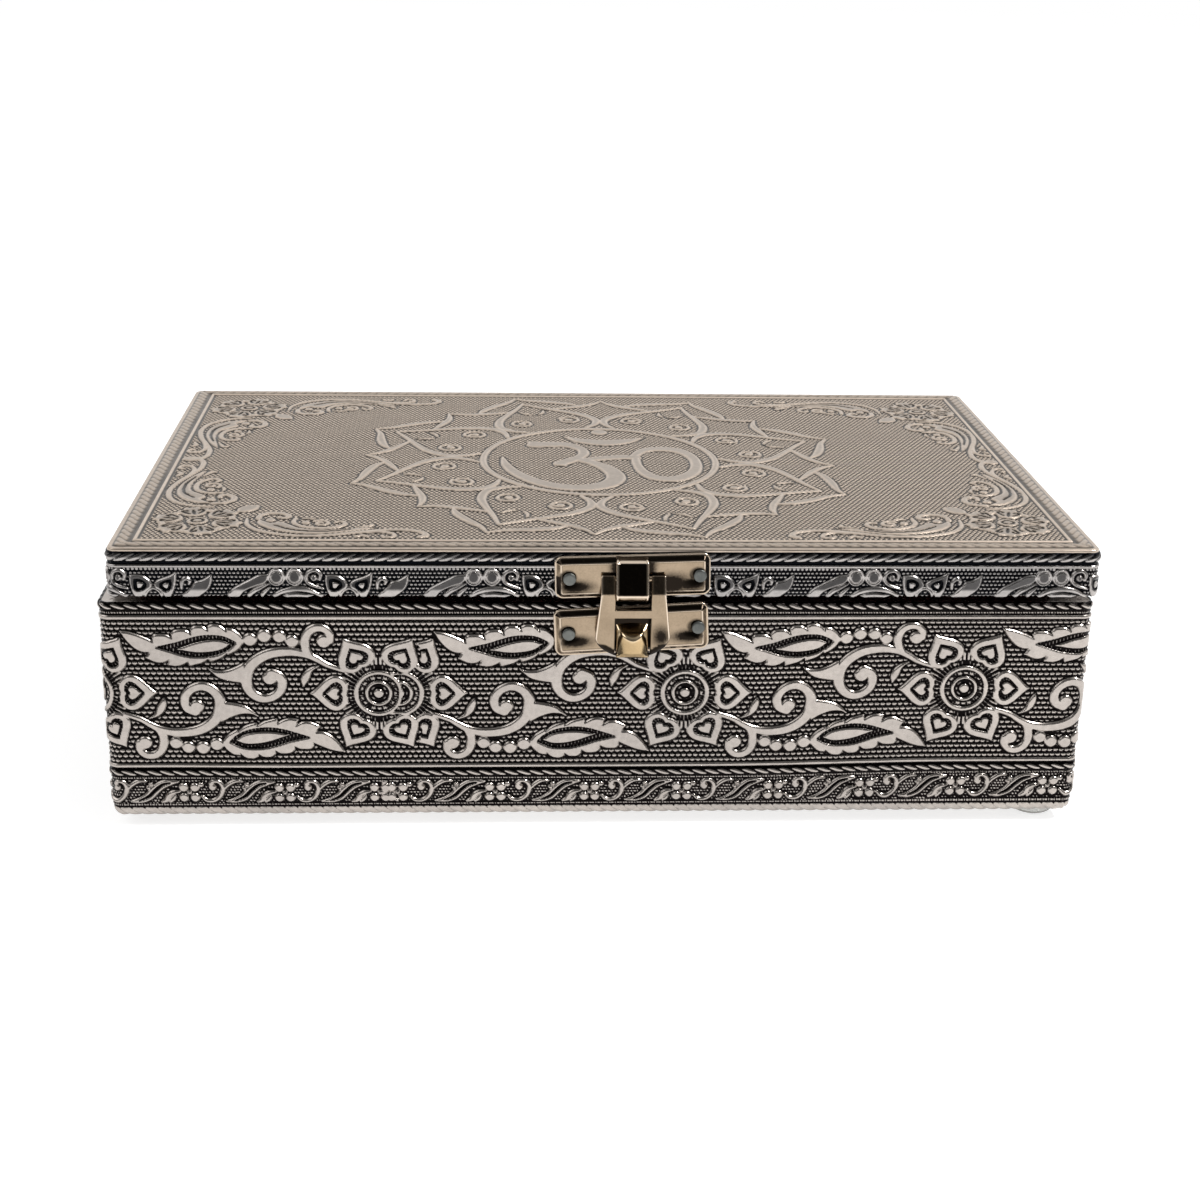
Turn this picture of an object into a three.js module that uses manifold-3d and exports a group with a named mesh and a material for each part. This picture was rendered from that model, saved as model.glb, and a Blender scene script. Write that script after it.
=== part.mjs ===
// A keepsake box of wooden boards clad in embossed sheet metal, with a hasp latch in front and two
// butt hinges behind. Millimetres, +Z up. The origin is on the ground under the centre of the box,
// +X runs to the right along the front and +Y to the back.

import * as THREE from 'three';
import { ConvexGeometry } from 'three/addons/geometries/ConvexGeometry.js';
import { mergeVertices } from 'three/addons/utils/BufferGeometryUtils.js';
import Module from 'manifold-3d';

const wasm = await Module();
wasm.setup();

// Clearances
const seatGap = 0.06;
const mitreGap = 0.06;
const padGap = 0.3;
const overrun = 3;

// Driving dimensions of the base
const base = {
  width: 200,
  depth: 128,
  height: 47,
  cornerRadius: 2,
  bottomRadius: 3,
  board: 6,
  floor: 4,
  rebate: 2,
};

// Driving dimensions of the lid
const lid = {
  setback: 0.8,
  height: 9.8,
  shift: 1.3,
  gap: 1.5,
  panel: 3.4,
  railWidth: 9,
  edgeRadius: 0.5,
};

// Embossed sheet metal and the mouldings that border it
const sheet = { thickness: 0.6, relief: 0.6, lineRelief: 0.4, underLip: 19 };
const baseBorder = {
  rimRopeWidth: 1.5,
  rimLineDrop: 4,
  lineWidth: 1.1,
  lowerLineRise: 11.1,
  lowerRopeRise: 9.2,
  lowerRopeWidth: 1.6,
};
const lidSideBorder = { lineRise: 5.9, lineWidth: 0.65, ropeRise: 6.9, ropeWidth: 2.2 };
const lidTopBorder = { ropeInset: 1.2, ropeWidth: 2.4, lineInset: 4.4, lineWidth: 0.7, fieldInset: 5.6 };

// Velvet lining, felt and feet
const lining = { thickness: 1.8, proud: 1.2, edgeThickness: 0.8, edgeDrop: 0.4 };
const pad = { thickness: 1.4, crown: 0.7, edgeRadius: 0.6, crownInset: 26, cornerRadius: 2 };
const felt = { inset: 17.5, thickness: 0.5, cornerRadius: 6 };
const foot = {
  height: 2.2,
  radius: 4.8,
  flatRadius: 3.1,
  shoulder: 1.5,
  inset: 9.6,
  deepInset: 12,
  nearSideInset: 6.6,
  nearEndInset: 7,
};
const footPlaces = [
  { name: 'front_right', side: 1, end: -1, sideInset: foot.nearSideInset, endInset: foot.nearEndInset },
  { name: 'front_left', side: -1, end: -1, sideInset: foot.inset, endInset: foot.deepInset },
  { name: 'back_right', side: 1, end: 1, sideInset: foot.inset, endInset: foot.inset },
  { name: 'back_left', side: -1, end: 1, sideInset: foot.inset, endInset: foot.inset },
];

// Latch: two stamped plates, the strap that holds the hasp, the hasp and the catch.
// Out means outwards from the seat of the plates, and rise is measured from the rim of the base.
const latch = { shift: 6.15, nailInset: 2.55, stand: 1.4, thickness: 0.5, bevel: 1.2, lip: 0.35, cornerRadius: 1.6 };
const upperPlate = { width: 31.1, height: 8.8, rise: 6.05, tilt: 1.7 };
const lowerPlate = { width: 31.1, height: 9.9, rise: -5.3, tilt: 3.2 };
const strap = { width: 6, out: 5, thickness: 0.7, top: 10.6, bottom: 1.6, curl: 1.9, cornerRadius: 0.35 };
const pivot = { out: 2.35, rise: 6.1, radius: 0.8 };
const hasp = {
  thickness: 0.8,
  out: 4.2,
  topHalfWidth: 6.45,
  wideHalfWidth: 7.5,
  wideDrop: 12,
  bottomDrop: 16.5,
  creaseDrop: 2.6,
  windowHalfWidth: 3.55,
  crossbarDrop: 5.9,
  crossbarHeight: 1.9,
  lowerWindowDrop: 15.4,
};
const nose = {
  halfWidth: 3.15,
  topRise: 2.3,
  tipRise: -0.7,
  bottomRise: -3.95,
  bottomSlope: 0.6,
  topOut: 0.8,
  cheekOut: 3.1,
  out: 4.5,
  tipRadius: 0.5,
};

// Nails
const nail = { headRadius: 1.35, headHeight: 0.7, shankRadius: 0.5, length: 5, point: 1.2, hole: 0.12 };

// Butt hinges
const hinge = {
  inset: 42,
  width: 20,
  thickness: 0.7,
  knuckleRadius: 2,
  boreRadius: 1.1,
  pinRadius: 0.95,
  pinHead: 1.5,
  pinHeadHeight: 0.5,
  centreKnuckle: 7.4,
  knuckleGap: 0.3,
  baseLeaf: 9.6,
  lidLeaf: 8.6,
  cornerRadius: 1.2,
  nailSpan: 12,
  nailDrop: 6.2,
  nailRise: 5.3,
};

// Facets
const steps = { corner: 3, moulding: 4, roll: 5, turn: 20, outline: 4, nail: 14 };

// Places worked out from the sizes above
const skin = sheet.thickness + seatGap;
const wallInside = skin + base.board;
const floorTop = skin + base.floor;
const lidRailInside = skin + lid.railWidth;
const lidRailTop = lid.height - skin - lid.panel - seatGap;
const lidBottom = base.height + lid.gap;
const lidSize = { width: base.width - 2 * lid.setback, depth: base.depth };
const hingeSpread = base.width / 2 - hinge.inset;
const hardwareSeat = sheet.relief + seatGap;
const hingeOut = hinge.knuckleRadius + seatGap;
const hingeRise = base.height + lid.gap / 2;

// Materials
const finish = {
  embossed: new THREE.MeshStandardMaterial({ color: 0xb4b0a8, roughness: 0.34, metalness: 0.9 }),
  wood: new THREE.MeshStandardMaterial({ color: 0xa8865c, roughness: 0.75, metalness: 0 }),
  velvet: new THREE.MeshStandardMaterial({ color: 0x6b1420, roughness: 0.95, metalness: 0 }),
  felt: new THREE.MeshStandardMaterial({ color: 0x2a2a2c, roughness: 1, metalness: 0 }),
  bumper: new THREE.MeshStandardMaterial({ color: 0xe4e4de, roughness: 0.3, metalness: 0 }),
  latch: new THREE.MeshStandardMaterial({ color: 0xb8a488, roughness: 0.25, metalness: 1 }),
  catch: new THREE.MeshStandardMaterial({ color: 0xc09a5c, roughness: 0.22, metalness: 1 }),
  nail: new THREE.MeshStandardMaterial({ color: 0x8c8e8c, roughness: 0.4, metalness: 0.9 }),
};

// A closed geometry as a solid that can be joined and cut
function solid(geometry) {
  const bare = new THREE.BufferGeometry();
  bare.setAttribute('position', geometry.getAttribute('position'));
  if (geometry.index) {
    bare.setIndex(geometry.index);
  }
  const merged = mergeVertices(bare, 1e-4);
  const corners = merged.index.array;
  const kept = [];
  for (let first = 0; first < corners.length; first += 3) {
    const [a, b, c] = corners.slice(first, first + 3);
    if (a !== b && b !== c && c !== a) {
      kept.push(a, b, c);
    }
  }
  return new wasm.Manifold(
    new wasm.Mesh({
      numProp: 3,
      vertProperties: new Float32Array(merged.getAttribute('position').array),
      triVerts: new Uint32Array(kept),
    }),
  );
}

// A solid as a geometry again
function surface(body) {
  const mesh = body.getMesh();
  const geometry = new THREE.BufferGeometry();
  geometry.setAttribute('position', new THREE.BufferAttribute(new Float32Array(mesh.vertProperties), 3));
  geometry.setIndex(new THREE.BufferAttribute(new Uint32Array(mesh.triVerts), 1));
  geometry.computeVertexNormals();
  return geometry;
}

// Sections of equal point counts joined into one closed body, with a flat cap on each end
function loft(sections) {
  const count = sections[0].length;
  const positions = sections.flat().flatMap((point) => point.toArray());
  const index = [];
  for (let section = 0; section + 1 < sections.length; section += 1) {
    for (let point = 0; point < count; point += 1) {
      const next = (point + 1) % count;
      const a = section * count + point;
      const b = section * count + next;
      index.push(a, b, b + count, a, b + count, a + count);
    }
  }
  const geometry = new THREE.BufferGeometry();
  geometry.setAttribute('position', new THREE.Float32BufferAttribute(positions, 3));
  return { geometry, index, count, last: (sections.length - 1) * count };
}

function close(lofted, caps, outwards) {
  const { geometry, index, last } = lofted;
  for (const [a, b, c] of caps) {
    index.push(c, b, a, last + a, last + b, last + c);
  }
  if (!outwards) {
    index.reverse();
  }
  geometry.setIndex(index);
  return geometry;
}

// Points of an arc in a section, about a centre, between two angles in quarter turns
function arc(depth, height, radius, fromQuarter, toQuarter, count) {
  return Array.from({ length: count + 1 }, (_, step) => {
    const angle = (Math.PI / 2) * (fromQuarter + ((toQuarter - fromQuarter) * step) / count);
    return [depth + radius * Math.cos(angle), height + radius * Math.sin(angle)];
  });
}

// Points of a half-round moulding that lies from low to low + width and stands out by relief
function moulding(low, width, relief) {
  return Array.from({ length: steps.moulding + 1 }, (_, step) => {
    const angle = (Math.PI * step) / steps.moulding;
    return [relief * Math.sin(angle), low + (width * (1 - Math.cos(angle))) / 2];
  });
}

function wallMoulding(low, width, relief) {
  return moulding(low, width, relief).map(([out, height]) => [-out, height]);
}

// A rail along X with mitred ends. Its profile is a list of [depth, height], with depth measured
// inwards from the outer face, which lies in the plane y = 0. What lies outside the corner radius
// is bent round the corner as far as the mitre.
function rail(profile, length) {
  const half = length / 2 - mitreGap;
  const stations = [];
  for (const side of [-1, 1]) {
    for (let step = 0; step <= steps.corner; step += 1) {
      const share = (side < 0 ? steps.corner - step : step) / steps.corner;
      stations.push({ side, angle: (share * Math.PI) / 4 });
    }
  }
  const sections = stations.map(({ side, angle }) =>
    profile.map(([depth, height]) => {
      const bend = Math.max(base.cornerRadius - depth, 0);
      const centre = depth + bend;
      const along = half - centre + bend * Math.sin(angle);
      return new THREE.Vector3(side * along, centre - bend * Math.cos(angle), height);
    }),
  );
  const contour = profile.map(([depth, height]) => new THREE.Vector2(depth, height));
  const clockwise = THREE.ShapeUtils.isClockWise(contour);
  const faces = THREE.ShapeUtils.triangulateShape(contour, []);
  const caps = clockwise ? faces.map(([a, b, c]) => [c, b, a]) : faces;
  return solid(close(loft(sections), caps, !clockwise));
}

// The outline of a rounded rectangle, drawn in by an inset
function roundedOutline(width, depth, radius, inset) {
  const sharpest = seatGap;
  const corner = Math.max(radius - inset, sharpest);
  const points = [];
  const centres = [
    [1, 1],
    [-1, 1],
    [-1, -1],
    [1, -1],
  ];
  centres.forEach(([sideX, sideY], quarter) => {
    const centreX = sideX * (width / 2 - inset - corner);
    const centreY = sideY * (depth / 2 - inset - corner);
    for (const [x, y] of arc(centreX, centreY, corner, quarter, quarter + 1, steps.outline)) {
      points.push(new THREE.Vector2(x, y));
    }
  });
  return points;
}

// A plate built of rings of a rounded rectangle, each given as [inset, height], from its lower
// face over its edge to its upper face
function plate(width, depth, radius, rings) {
  const sections = rings.map(([inset, height]) =>
    roundedOutline(width, depth, radius, inset).map(({ x, y }) => new THREE.Vector3(x, y, height)),
  );
  const lofted = loft(sections);
  const caps = [];
  for (let point = 1; point + 1 < lofted.count; point += 1) {
    caps.push([0, point, point + 1]);
  }
  return close(lofted, caps, true);
}

// A body of revolution about Z from points given as [radius, height], from its foot to its top
function turned(points, count) {
  const outline = points.map(([radius, height]) => new THREE.Vector2(radius, height));
  const geometry = new THREE.LatheGeometry(outline, count);
  geometry.rotateX(Math.PI / 2);
  return geometry;
}

// A round cutting tool or pin along Y
function rod(radius, length, x, y, z, count) {
  const geometry = turned(
    [
      [0, -length / 2],
      [radius, -length / 2],
      [radius, length / 2],
      [0, length / 2],
    ],
    count,
  );
  geometry.rotateX(Math.PI / 2);
  geometry.translate(x, y, z);
  return geometry;
}

// A side profile given in [out, rise], extruded along X. Out is towards -Y, as on the front.
function sideExtrusion(outline, width, holes = []) {
  const shape = new THREE.Shape(outline.map(([out, rise]) => new THREE.Vector2(out, rise)));
  shape.holes = holes;
  const geometry = new THREE.ExtrudeGeometry(shape, { depth: width, bevelEnabled: false, curveSegments: 8 });
  geometry.translate(0, 0, -width / 2);
  const turn = new THREE.Matrix4().makeBasis(
    new THREE.Vector3(0, -1, 0),
    new THREE.Vector3(0, 0, 1),
    new THREE.Vector3(-1, 0, 0),
  );
  geometry.applyMatrix4(turn);
  return geometry;
}

// Lays a flat piece that was made in X and Y against the front, facing -Y
function stand(geometry) {
  geometry.rotateX(Math.PI / 2);
  return geometry;
}

// Cuts the nails' holes into a piece that lies along the front
function drill(body, places) {
  const radius = nail.shankRadius + nail.hole;
  const reach = nail.length + latch.stand + hardwareSeat;
  let drilled = body;
  for (const { x, z } of places) {
    drilled = drilled.subtract(solid(rod(radius, 2 * reach, x, 0, z, steps.nail)));
  }
  return drilled;
}

function mesh(name, geometry, material) {
  const piece = new THREE.Mesh(geometry, material);
  piece.name = name;
  return piece;
}

// The four sides of a frame: each stands with its outer face on its own side of the box
function frameSides(width, depth) {
  return [
    { side: 'front', length: width, x: 0, y: -depth / 2, turn: 0 },
    { side: 'back', length: width, x: 0, y: depth / 2, turn: Math.PI },
    { side: 'right', length: depth, x: width / 2, y: 0, turn: Math.PI / 2 },
    { side: 'left', length: depth, x: -width / 2, y: 0, turn: -Math.PI / 2 },
  ];
}

function frame(group, { width, depth }, profile, name, material, holes = {}) {
  for (const { side, length, x, y, turn } of frameSides(width, depth)) {
    const body = drill(rail(profile, length), holes[side] ?? []);
    const piece = mesh(`${name}_${side}`, surface(body), material);
    piece.position.set(x, y, 0);
    piece.rotation.z = turn;
    group.add(piece);
  }
}

// Nail places, each list in the frame of the rail that takes the nails
function latchNailPlaces({ width, rise, tilt }) {
  const reach = width / 2 - latch.nailInset;
  const climb = reach * Math.tan(THREE.MathUtils.degToRad(tilt));
  return [
    { name: 'left', x: -reach, z: rise - climb },
    { name: 'right', x: reach, z: rise + climb },
  ];
}

const hingeSides = [
  { name: 'left', x: -hingeSpread },
  { name: 'right', x: hingeSpread },
];
const hingeNails = hingeSides.flatMap((place) =>
  [-1, 1].map((end) => ({
    name: `${place.name}_${end < 0 ? 'outer' : 'inner'}`,
    x: place.x - (end * Math.sign(-place.x) * hinge.nailSpan) / 2,
  })),
);
const baseHoles = {
  front: latchNailPlaces(lowerPlate).map(({ x, z }) => ({ x: latch.shift + x, z: base.height + z })),
  back: hingeNails.map(({ x }) => ({ x: -x, z: hingeRise - hinge.nailDrop })),
};
const lidHoles = {
  front: latchNailPlaces(upperPlate).map(({ x, z }) => ({
    x: latch.shift - lid.shift + x,
    z: z - lid.gap,
  })),
  back: hingeNails.map(({ x }) => ({ x: lid.shift - x, z: hingeRise - lidBottom + hinge.nailRise })),
};

// The base: boards, floor, cladding, lining, felt and feet
function makeBase() {
  const group = new THREE.Group();
  const { height, bottomRadius: roll } = base;

  const boardProfile = [
    [wallInside - base.rebate, skin],
    ...arc(roll, roll, roll - skin, 3, 2, steps.roll),
    [skin, height - skin],
    [wallInside, height - skin],
    [wallInside, floorTop + seatGap],
    [wallInside - base.rebate, floorTop + seatGap],
  ];
  frame(group, base, boardProfile, 'wall_board', finish.wood, baseHoles);

  const floorInset = wallInside - base.rebate + seatGap;
  const floorBoard = plate(base.width - 2 * floorInset, base.depth - 2 * floorInset, base.rebate, [
    [0, skin],
    [0, floorTop],
  ]);
  group.add(mesh('floor_board', surface(solid(floorBoard)), finish.wood));

  const border = baseBorder;
  const lineRelief = sheet.lineRelief;
  const claddingProfile = [
    [sheet.underLip, 0],
    ...arc(roll, roll, roll, 3, 2, steps.roll),
    ...wallMoulding(border.lowerRopeRise, border.lowerRopeWidth, sheet.relief),
    ...wallMoulding(border.lowerLineRise, border.lineWidth, lineRelief),
    ...wallMoulding(height - border.rimLineDrop, border.lineWidth, lineRelief),
    ...wallMoulding(height - border.rimRopeWidth, border.rimRopeWidth, sheet.relief),
    [wallInside, height],
    [wallInside, height - sheet.thickness],
    [sheet.thickness, height - sheet.thickness],
    ...arc(roll, roll, roll - sheet.thickness, 2, 3, steps.roll),
    [sheet.underLip, sheet.thickness],
  ];
  frame(group, base, claddingProfile, 'base_cladding', finish.embossed, baseHoles);

  const liningOutside = wallInside + seatGap;
  const liningRadius = lining.thickness / 2;
  const liningTop = height + lining.proud;
  const liningProfile = [
    [liningOutside, floorTop + seatGap],
    ...arc(liningOutside + liningRadius, liningTop - liningRadius, liningRadius, 2, 0, steps.roll),
    [liningOutside + lining.thickness, floorTop + seatGap],
  ];
  frame(group, base, liningProfile, 'velvet_wall', finish.velvet);

  const padInset = liningOutside + lining.thickness + padGap;
  const floorPad = cushion(base.width - 2 * padInset, base.depth - 2 * padInset);
  floorPad.translate(0, 0, floorTop + seatGap);
  group.add(mesh('velvet_floor_pad', surface(solid(floorPad)), finish.velvet));

  const feltSheet = plate(base.width - 2 * felt.inset, base.depth - 2 * felt.inset, felt.cornerRadius, [
    [0, -seatGap - felt.thickness],
    [0, -seatGap],
  ]);
  group.add(mesh('base_felt', surface(solid(feltSheet)), finish.felt));

  for (const place of footPlaces) {
    const rounding = arc(0, 0, 1, 3, 4, steps.moulding).map(([across, down]) => [
      foot.flatRadius + (foot.radius - foot.flatRadius) * across,
      (foot.height - foot.shoulder) * down - foot.shoulder,
    ]);
    const bumper = turned(
      [[0, -foot.height], ...rounding, [foot.radius, -seatGap], [0, -seatGap]],
      steps.turn,
    );
    bumper.translate(
      place.side * (base.width / 2 - place.sideInset),
      place.end * (base.depth / 2 - place.endInset),
      0,
    );
    group.add(mesh(`foot_${place.name}`, surface(solid(bumper)), finish.bumper));
  }
  return group;
}

// A padded sheet of velvet: flat beneath, with a rolled edge and a low crown
function cushion(width, depth) {
  const { thickness, crown, edgeRadius, crownInset } = pad;
  const rolled = arc(edgeRadius, thickness - edgeRadius, edgeRadius, 2, 1, steps.moulding);
  const crowned = Array.from({ length: steps.roll }, (_, step) => {
    const share = (step + 1) / steps.roll;
    return [edgeRadius + crownInset * share, thickness + crown * Math.sin((share * Math.PI) / 2)];
  });
  return plate(width, depth, pad.cornerRadius, [[0, 0], ...rolled, ...crowned]);
}

// The lid: panel, rails, cladding and lining
function makeLid() {
  const group = new THREE.Group();
  const { width, depth } = lidSize;
  const { height, edgeRadius } = lid;

  const railProfile = [
    [skin, skin],
    [skin, lidRailTop],
    [lidRailInside, lidRailTop],
    [lidRailInside, skin],
  ];
  frame(group, lidSize, railProfile, 'lid_rail', finish.wood, lidHoles);

  const panelTop = height - skin;
  const panel = plate(width - 2 * skin, depth - 2 * skin, base.cornerRadius - skin, [
    [0, panelTop - lid.panel],
    [0, panelTop],
  ]);
  group.add(mesh('lid_panel', surface(solid(panel)), finish.wood));

  const side = lidSideBorder;
  const sideTop = height - skin;
  const claddingProfile = [
    [lidRailInside, 0],
    ...arc(edgeRadius, edgeRadius, edgeRadius, 3, 2, 2),
    ...wallMoulding(side.lineRise, side.lineWidth, sheet.lineRelief),
    ...wallMoulding(side.ropeRise, side.ropeWidth, sheet.relief),
    [0, sideTop],
    [sheet.thickness, sideTop],
    [sheet.thickness, sheet.thickness],
    [lidRailInside, sheet.thickness],
  ];
  frame(group, lidSize, claddingProfile, 'lid_cladding', finish.embossed, lidHoles);

  const top = lidTopBorder;
  const flatMoulding = (inset, across, relief) =>
    moulding(inset, across, relief).map(([out, place]) => [place, height + out]);
  const topSheet = plate(width, depth, base.cornerRadius, [
    [edgeRadius / 2, height - sheet.thickness],
    [0, height - sheet.thickness / 2],
    [edgeRadius / 2, height],
    ...flatMoulding(top.ropeInset, top.ropeWidth, sheet.relief),
    ...flatMoulding(top.lineInset, top.lineWidth, sheet.lineRelief),
    [top.fieldInset, height],
  ]);
  group.add(mesh('lid_top_cladding', surface(solid(topSheet)), finish.embossed));

  const edgeOutside = lidRailInside + seatGap;
  const edgeInside = edgeOutside + lining.edgeThickness;
  const edgeProfile = [
    [edgeOutside, lining.edgeDrop],
    [edgeOutside, lidRailTop],
    [edgeInside, lidRailTop],
    [edgeInside, lining.edgeDrop],
  ];
  frame(group, lidSize, edgeProfile, 'lid_velvet_edge', finish.velvet);

  const padInset = edgeInside + padGap;
  const lidPad = cushion(width - 2 * padInset, depth - 2 * padInset);
  lidPad.rotateX(Math.PI);
  lidPad.translate(0, 0, lidRailTop);
  group.add(mesh('lid_velvet_pad', surface(solid(lidPad)), finish.velvet));
  return group;
}

// A stamped plate: a raised field with bevelled sides, hollow behind
function stampedPlate({ width, height, tilt, rise }) {
  const { stand: out, thickness, bevel, lip, cornerRadius } = latch;
  const shell = stand(
    plate(width, height, cornerRadius, [
      [bevel + thickness, out - thickness],
      [thickness, lip],
      [thickness, 0],
      [0, 0],
      [0, lip],
      [bevel, out],
    ]),
  );
  shell.rotateY(-THREE.MathUtils.degToRad(tilt));
  shell.translate(0, 0, rise);
  return solid(shell);
}

// The strap leaves the top edge of the upper plate, runs down in front of the pivot bar and
// curls back to the plate under it
function makeStrap() {
  const { out, thickness, top, bottom, curl, width, cornerRadius: corner } = strap;
  const plateFace = latch.stand - latch.thickness;
  const outside = [
    [plateFace, top],
    ...arc(out - corner, top - corner, corner, 1, 0, 2),
    ...arc(out - curl, bottom + curl, curl, 0, -1, steps.roll),
    [plateFace, bottom],
  ];
  const inside = [
    [plateFace, bottom + thickness],
    ...arc(out - curl, bottom + curl, curl - thickness, -1, 0, steps.roll),
    [out - thickness, top - thickness],
    [plateFace, top - thickness],
  ];
  return solid(sideExtrusion([...outside, ...inside], width));
}

// The hasp: a bent sheet cut to its outline, with two windows and the pivot bar across its top
function makeHasp() {
  const { thickness, out, topHalfWidth, wideHalfWidth, wideDrop, bottomDrop, creaseDrop } = hasp;
  const flank = Math.PI / 4;
  const back = out - thickness;
  const side = sideExtrusion(
    [
      [back - pivot.out, -bottomDrop - overrun],
      [out - pivot.out, -bottomDrop - overrun],
      [out - pivot.out, -creaseDrop],
      [pivot.radius * Math.cos(flank), pivot.radius * Math.sin(flank)],
      [-pivot.radius * Math.cos(flank), -pivot.radius * Math.sin(flank)],
      [back - pivot.out, -creaseDrop - thickness / 2],
    ],
    2 * wideHalfWidth + overrun,
  );
  const outline = new THREE.Shape();
  outline.moveTo(-topHalfWidth, pivot.radius + overrun);
  outline.lineTo(-topHalfWidth, -creaseDrop);
  outline.lineTo(-wideHalfWidth, -wideDrop);
  const fullness = (bottomDrop - wideDrop) / 2;
  outline.bezierCurveTo(
    -wideHalfWidth,
    -wideDrop - fullness,
    -wideHalfWidth / 2,
    -bottomDrop,
    0,
    -bottomDrop,
  );
  outline.bezierCurveTo(
    wideHalfWidth / 2,
    -bottomDrop,
    wideHalfWidth,
    -wideDrop - fullness,
    wideHalfWidth,
    -wideDrop,
  );
  outline.lineTo(topHalfWidth, -creaseDrop);
  outline.lineTo(topHalfWidth, pivot.radius + overrun);
  outline.closePath();
  const span = out + 2 * overrun;
  const blank = new THREE.ExtrudeGeometry(outline, { depth: span, bevelEnabled: false, curveSegments: 8 });
  blank.translate(0, 0, -overrun);
  stand(blank);

  const window = (top, bottom) => {
    const opening = new THREE.BoxGeometry(2 * hasp.windowHalfWidth, 2 * span, top - bottom);
    opening.translate(0, 0, (top + bottom) / 2);
    return solid(opening);
  };
  const crossbarBottom = -hasp.crossbarDrop - hasp.crossbarHeight;
  const bar = new THREE.CylinderGeometry(pivot.radius, pivot.radius, 2 * topHalfWidth, steps.turn);
  bar.rotateZ(Math.PI / 2);
  return solid(side)
    .intersect(solid(blank))
    .subtract(window(pivot.radius + overrun, -hasp.crossbarDrop))
    .subtract(window(crossbarBottom, -hasp.lowerWindowDrop))
    .add(solid(bar));
}

// The catch: a blunt beak with a three-cornered slope on top, which the hasp's lower window drops over
function makeCatch() {
  const { halfWidth, topRise, tipRise, bottomRise, bottomSlope, topOut, cheekOut, out, tipRadius } = nose;
  const points = [];
  for (const side of [-1, 1]) {
    const edge = side * halfWidth;
    const inner = side * (halfWidth - tipRadius);
    points.push([edge, 0, topRise], [inner, topOut, topRise]);
    points.push([edge, topOut, topRise - tipRadius], [edge, 0, bottomRise]);
    points.push([edge, cheekOut, (tipRise + bottomRise) / 2], [edge, cheekOut, bottomRise + bottomSlope]);
    points.push([side * tipRadius, out - tipRadius / 2, tipRise]);
    points.push([inner, out - tipRadius / 2, bottomRise + bottomSlope + tipRadius]);
    points.push([inner - side * tipRadius, out - tipRadius, bottomRise + bottomSlope]);
  }
  points.push([0, out, tipRise - tipRadius], [0, out - tipRadius / 2, tipRise + tipRadius / 2]);
  const corners = points.map(([x, outward, rise]) => new THREE.Vector3(x, -outward, rise));
  return solid(new ConvexGeometry(corners));
}

// A round-headed nail that points into the wall
function makeNail() {
  const { headRadius, headHeight, shankRadius, length, point } = nail;
  const head = arc(0, 0, 1, 0, 1, 4).map(([across, up]) => [headRadius * across, headHeight * up]);
  return stand(
    turned([[0, -length], [shankRadius, point - length], [shankRadius, 0], ...head], steps.nail),
  );
}

function latchNails(group, prefix, plateSizes) {
  for (const { name, x, z } of latchNailPlaces(plateSizes)) {
    const piece = mesh(`latch_nail_${prefix}_${name}`, surface(solid(makeNail())), finish.nail);
    piece.position.set(x, -latch.stand - seatGap, z);
    group.add(piece);
  }
}

function makeUpperLatch() {
  const group = new THREE.Group();
  const pressed = stampedPlate(upperPlate).add(makeStrap());
  group.add(mesh('latch_upper_plate', surface(drill(pressed, latchNailPlaces(upperPlate))), finish.latch));
  latchNails(group, 'upper', upperPlate);
  return group;
}

function makeLowerLatch() {
  const group = new THREE.Group();
  const pressed = stampedPlate(lowerPlate);
  group.add(mesh('latch_lower_plate', surface(drill(pressed, latchNailPlaces(lowerPlate))), finish.latch));
  const beak = mesh('latch_catch', surface(makeCatch()), finish.catch);
  beak.position.set(0, -latch.stand - seatGap, lowerPlate.rise);
  group.add(beak);
  latchNails(group, 'lower', lowerPlate);
  return group;
}

// One hinge leaf, in the frame of the pin: a flat leaf with its own share of the knuckles
function makeLeaf(length, up, knuckles) {
  const { width, thickness, knuckleRadius, boreRadius, knuckleGap, cornerRadius } = hinge;
  const clear = knuckleRadius + knuckleGap;
  const flat = new THREE.Shape();
  const half = width / 2;
  flat.moveTo(-half, up * clear);
  flat.lineTo(half, up * clear);
  flat.lineTo(half, up * (length - cornerRadius));
  flat.quadraticCurveTo(half, up * length, half - cornerRadius, up * length);
  flat.lineTo(cornerRadius - half, up * length);
  flat.quadraticCurveTo(-half, up * length, -half, up * (length - cornerRadius));
  flat.closePath();
  const sheetMetal = new THREE.ExtrudeGeometry(flat, {
    depth: thickness,
    bevelEnabled: false,
    curveSegments: steps.outline,
  });
  stand(sheetMetal);
  sheetMetal.translate(0, knuckleRadius, 0);
  let leaf = solid(sheetMetal);
  for (const { from, to } of knuckles) {
    const span = to - from;
    const bore = new THREE.Path();
    bore.absarc(0, 0, boreRadius, 0, 2 * Math.PI, true);
    const barrel = Array.from({ length: steps.turn }, (_, step) => {
      const angle = (2 * Math.PI * step) / steps.turn;
      return [knuckleRadius * Math.cos(angle), knuckleRadius * Math.sin(angle)];
    });
    const tongue = [
      [-knuckleRadius, 0],
      [-knuckleRadius, up * (clear + thickness)],
      [thickness - knuckleRadius, up * (clear + thickness)],
      [thickness - knuckleRadius, 0],
    ];
    const bored = solid(sideExtrusion(barrel, span, [bore])).add(solid(sideExtrusion(tongue, span)));
    leaf = leaf.add(bored.translate([(from + to) / 2, 0, 0]));
  }
  return leaf;
}

function hingeKnuckles() {
  const half = hinge.width / 2;
  const centre = hinge.centreKnuckle / 2;
  return {
    lid: [{ from: -centre, to: centre }],
    base: [
      { from: -half, to: -centre - hinge.knuckleGap },
      { from: centre + hinge.knuckleGap, to: half },
    ],
  };
}

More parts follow.
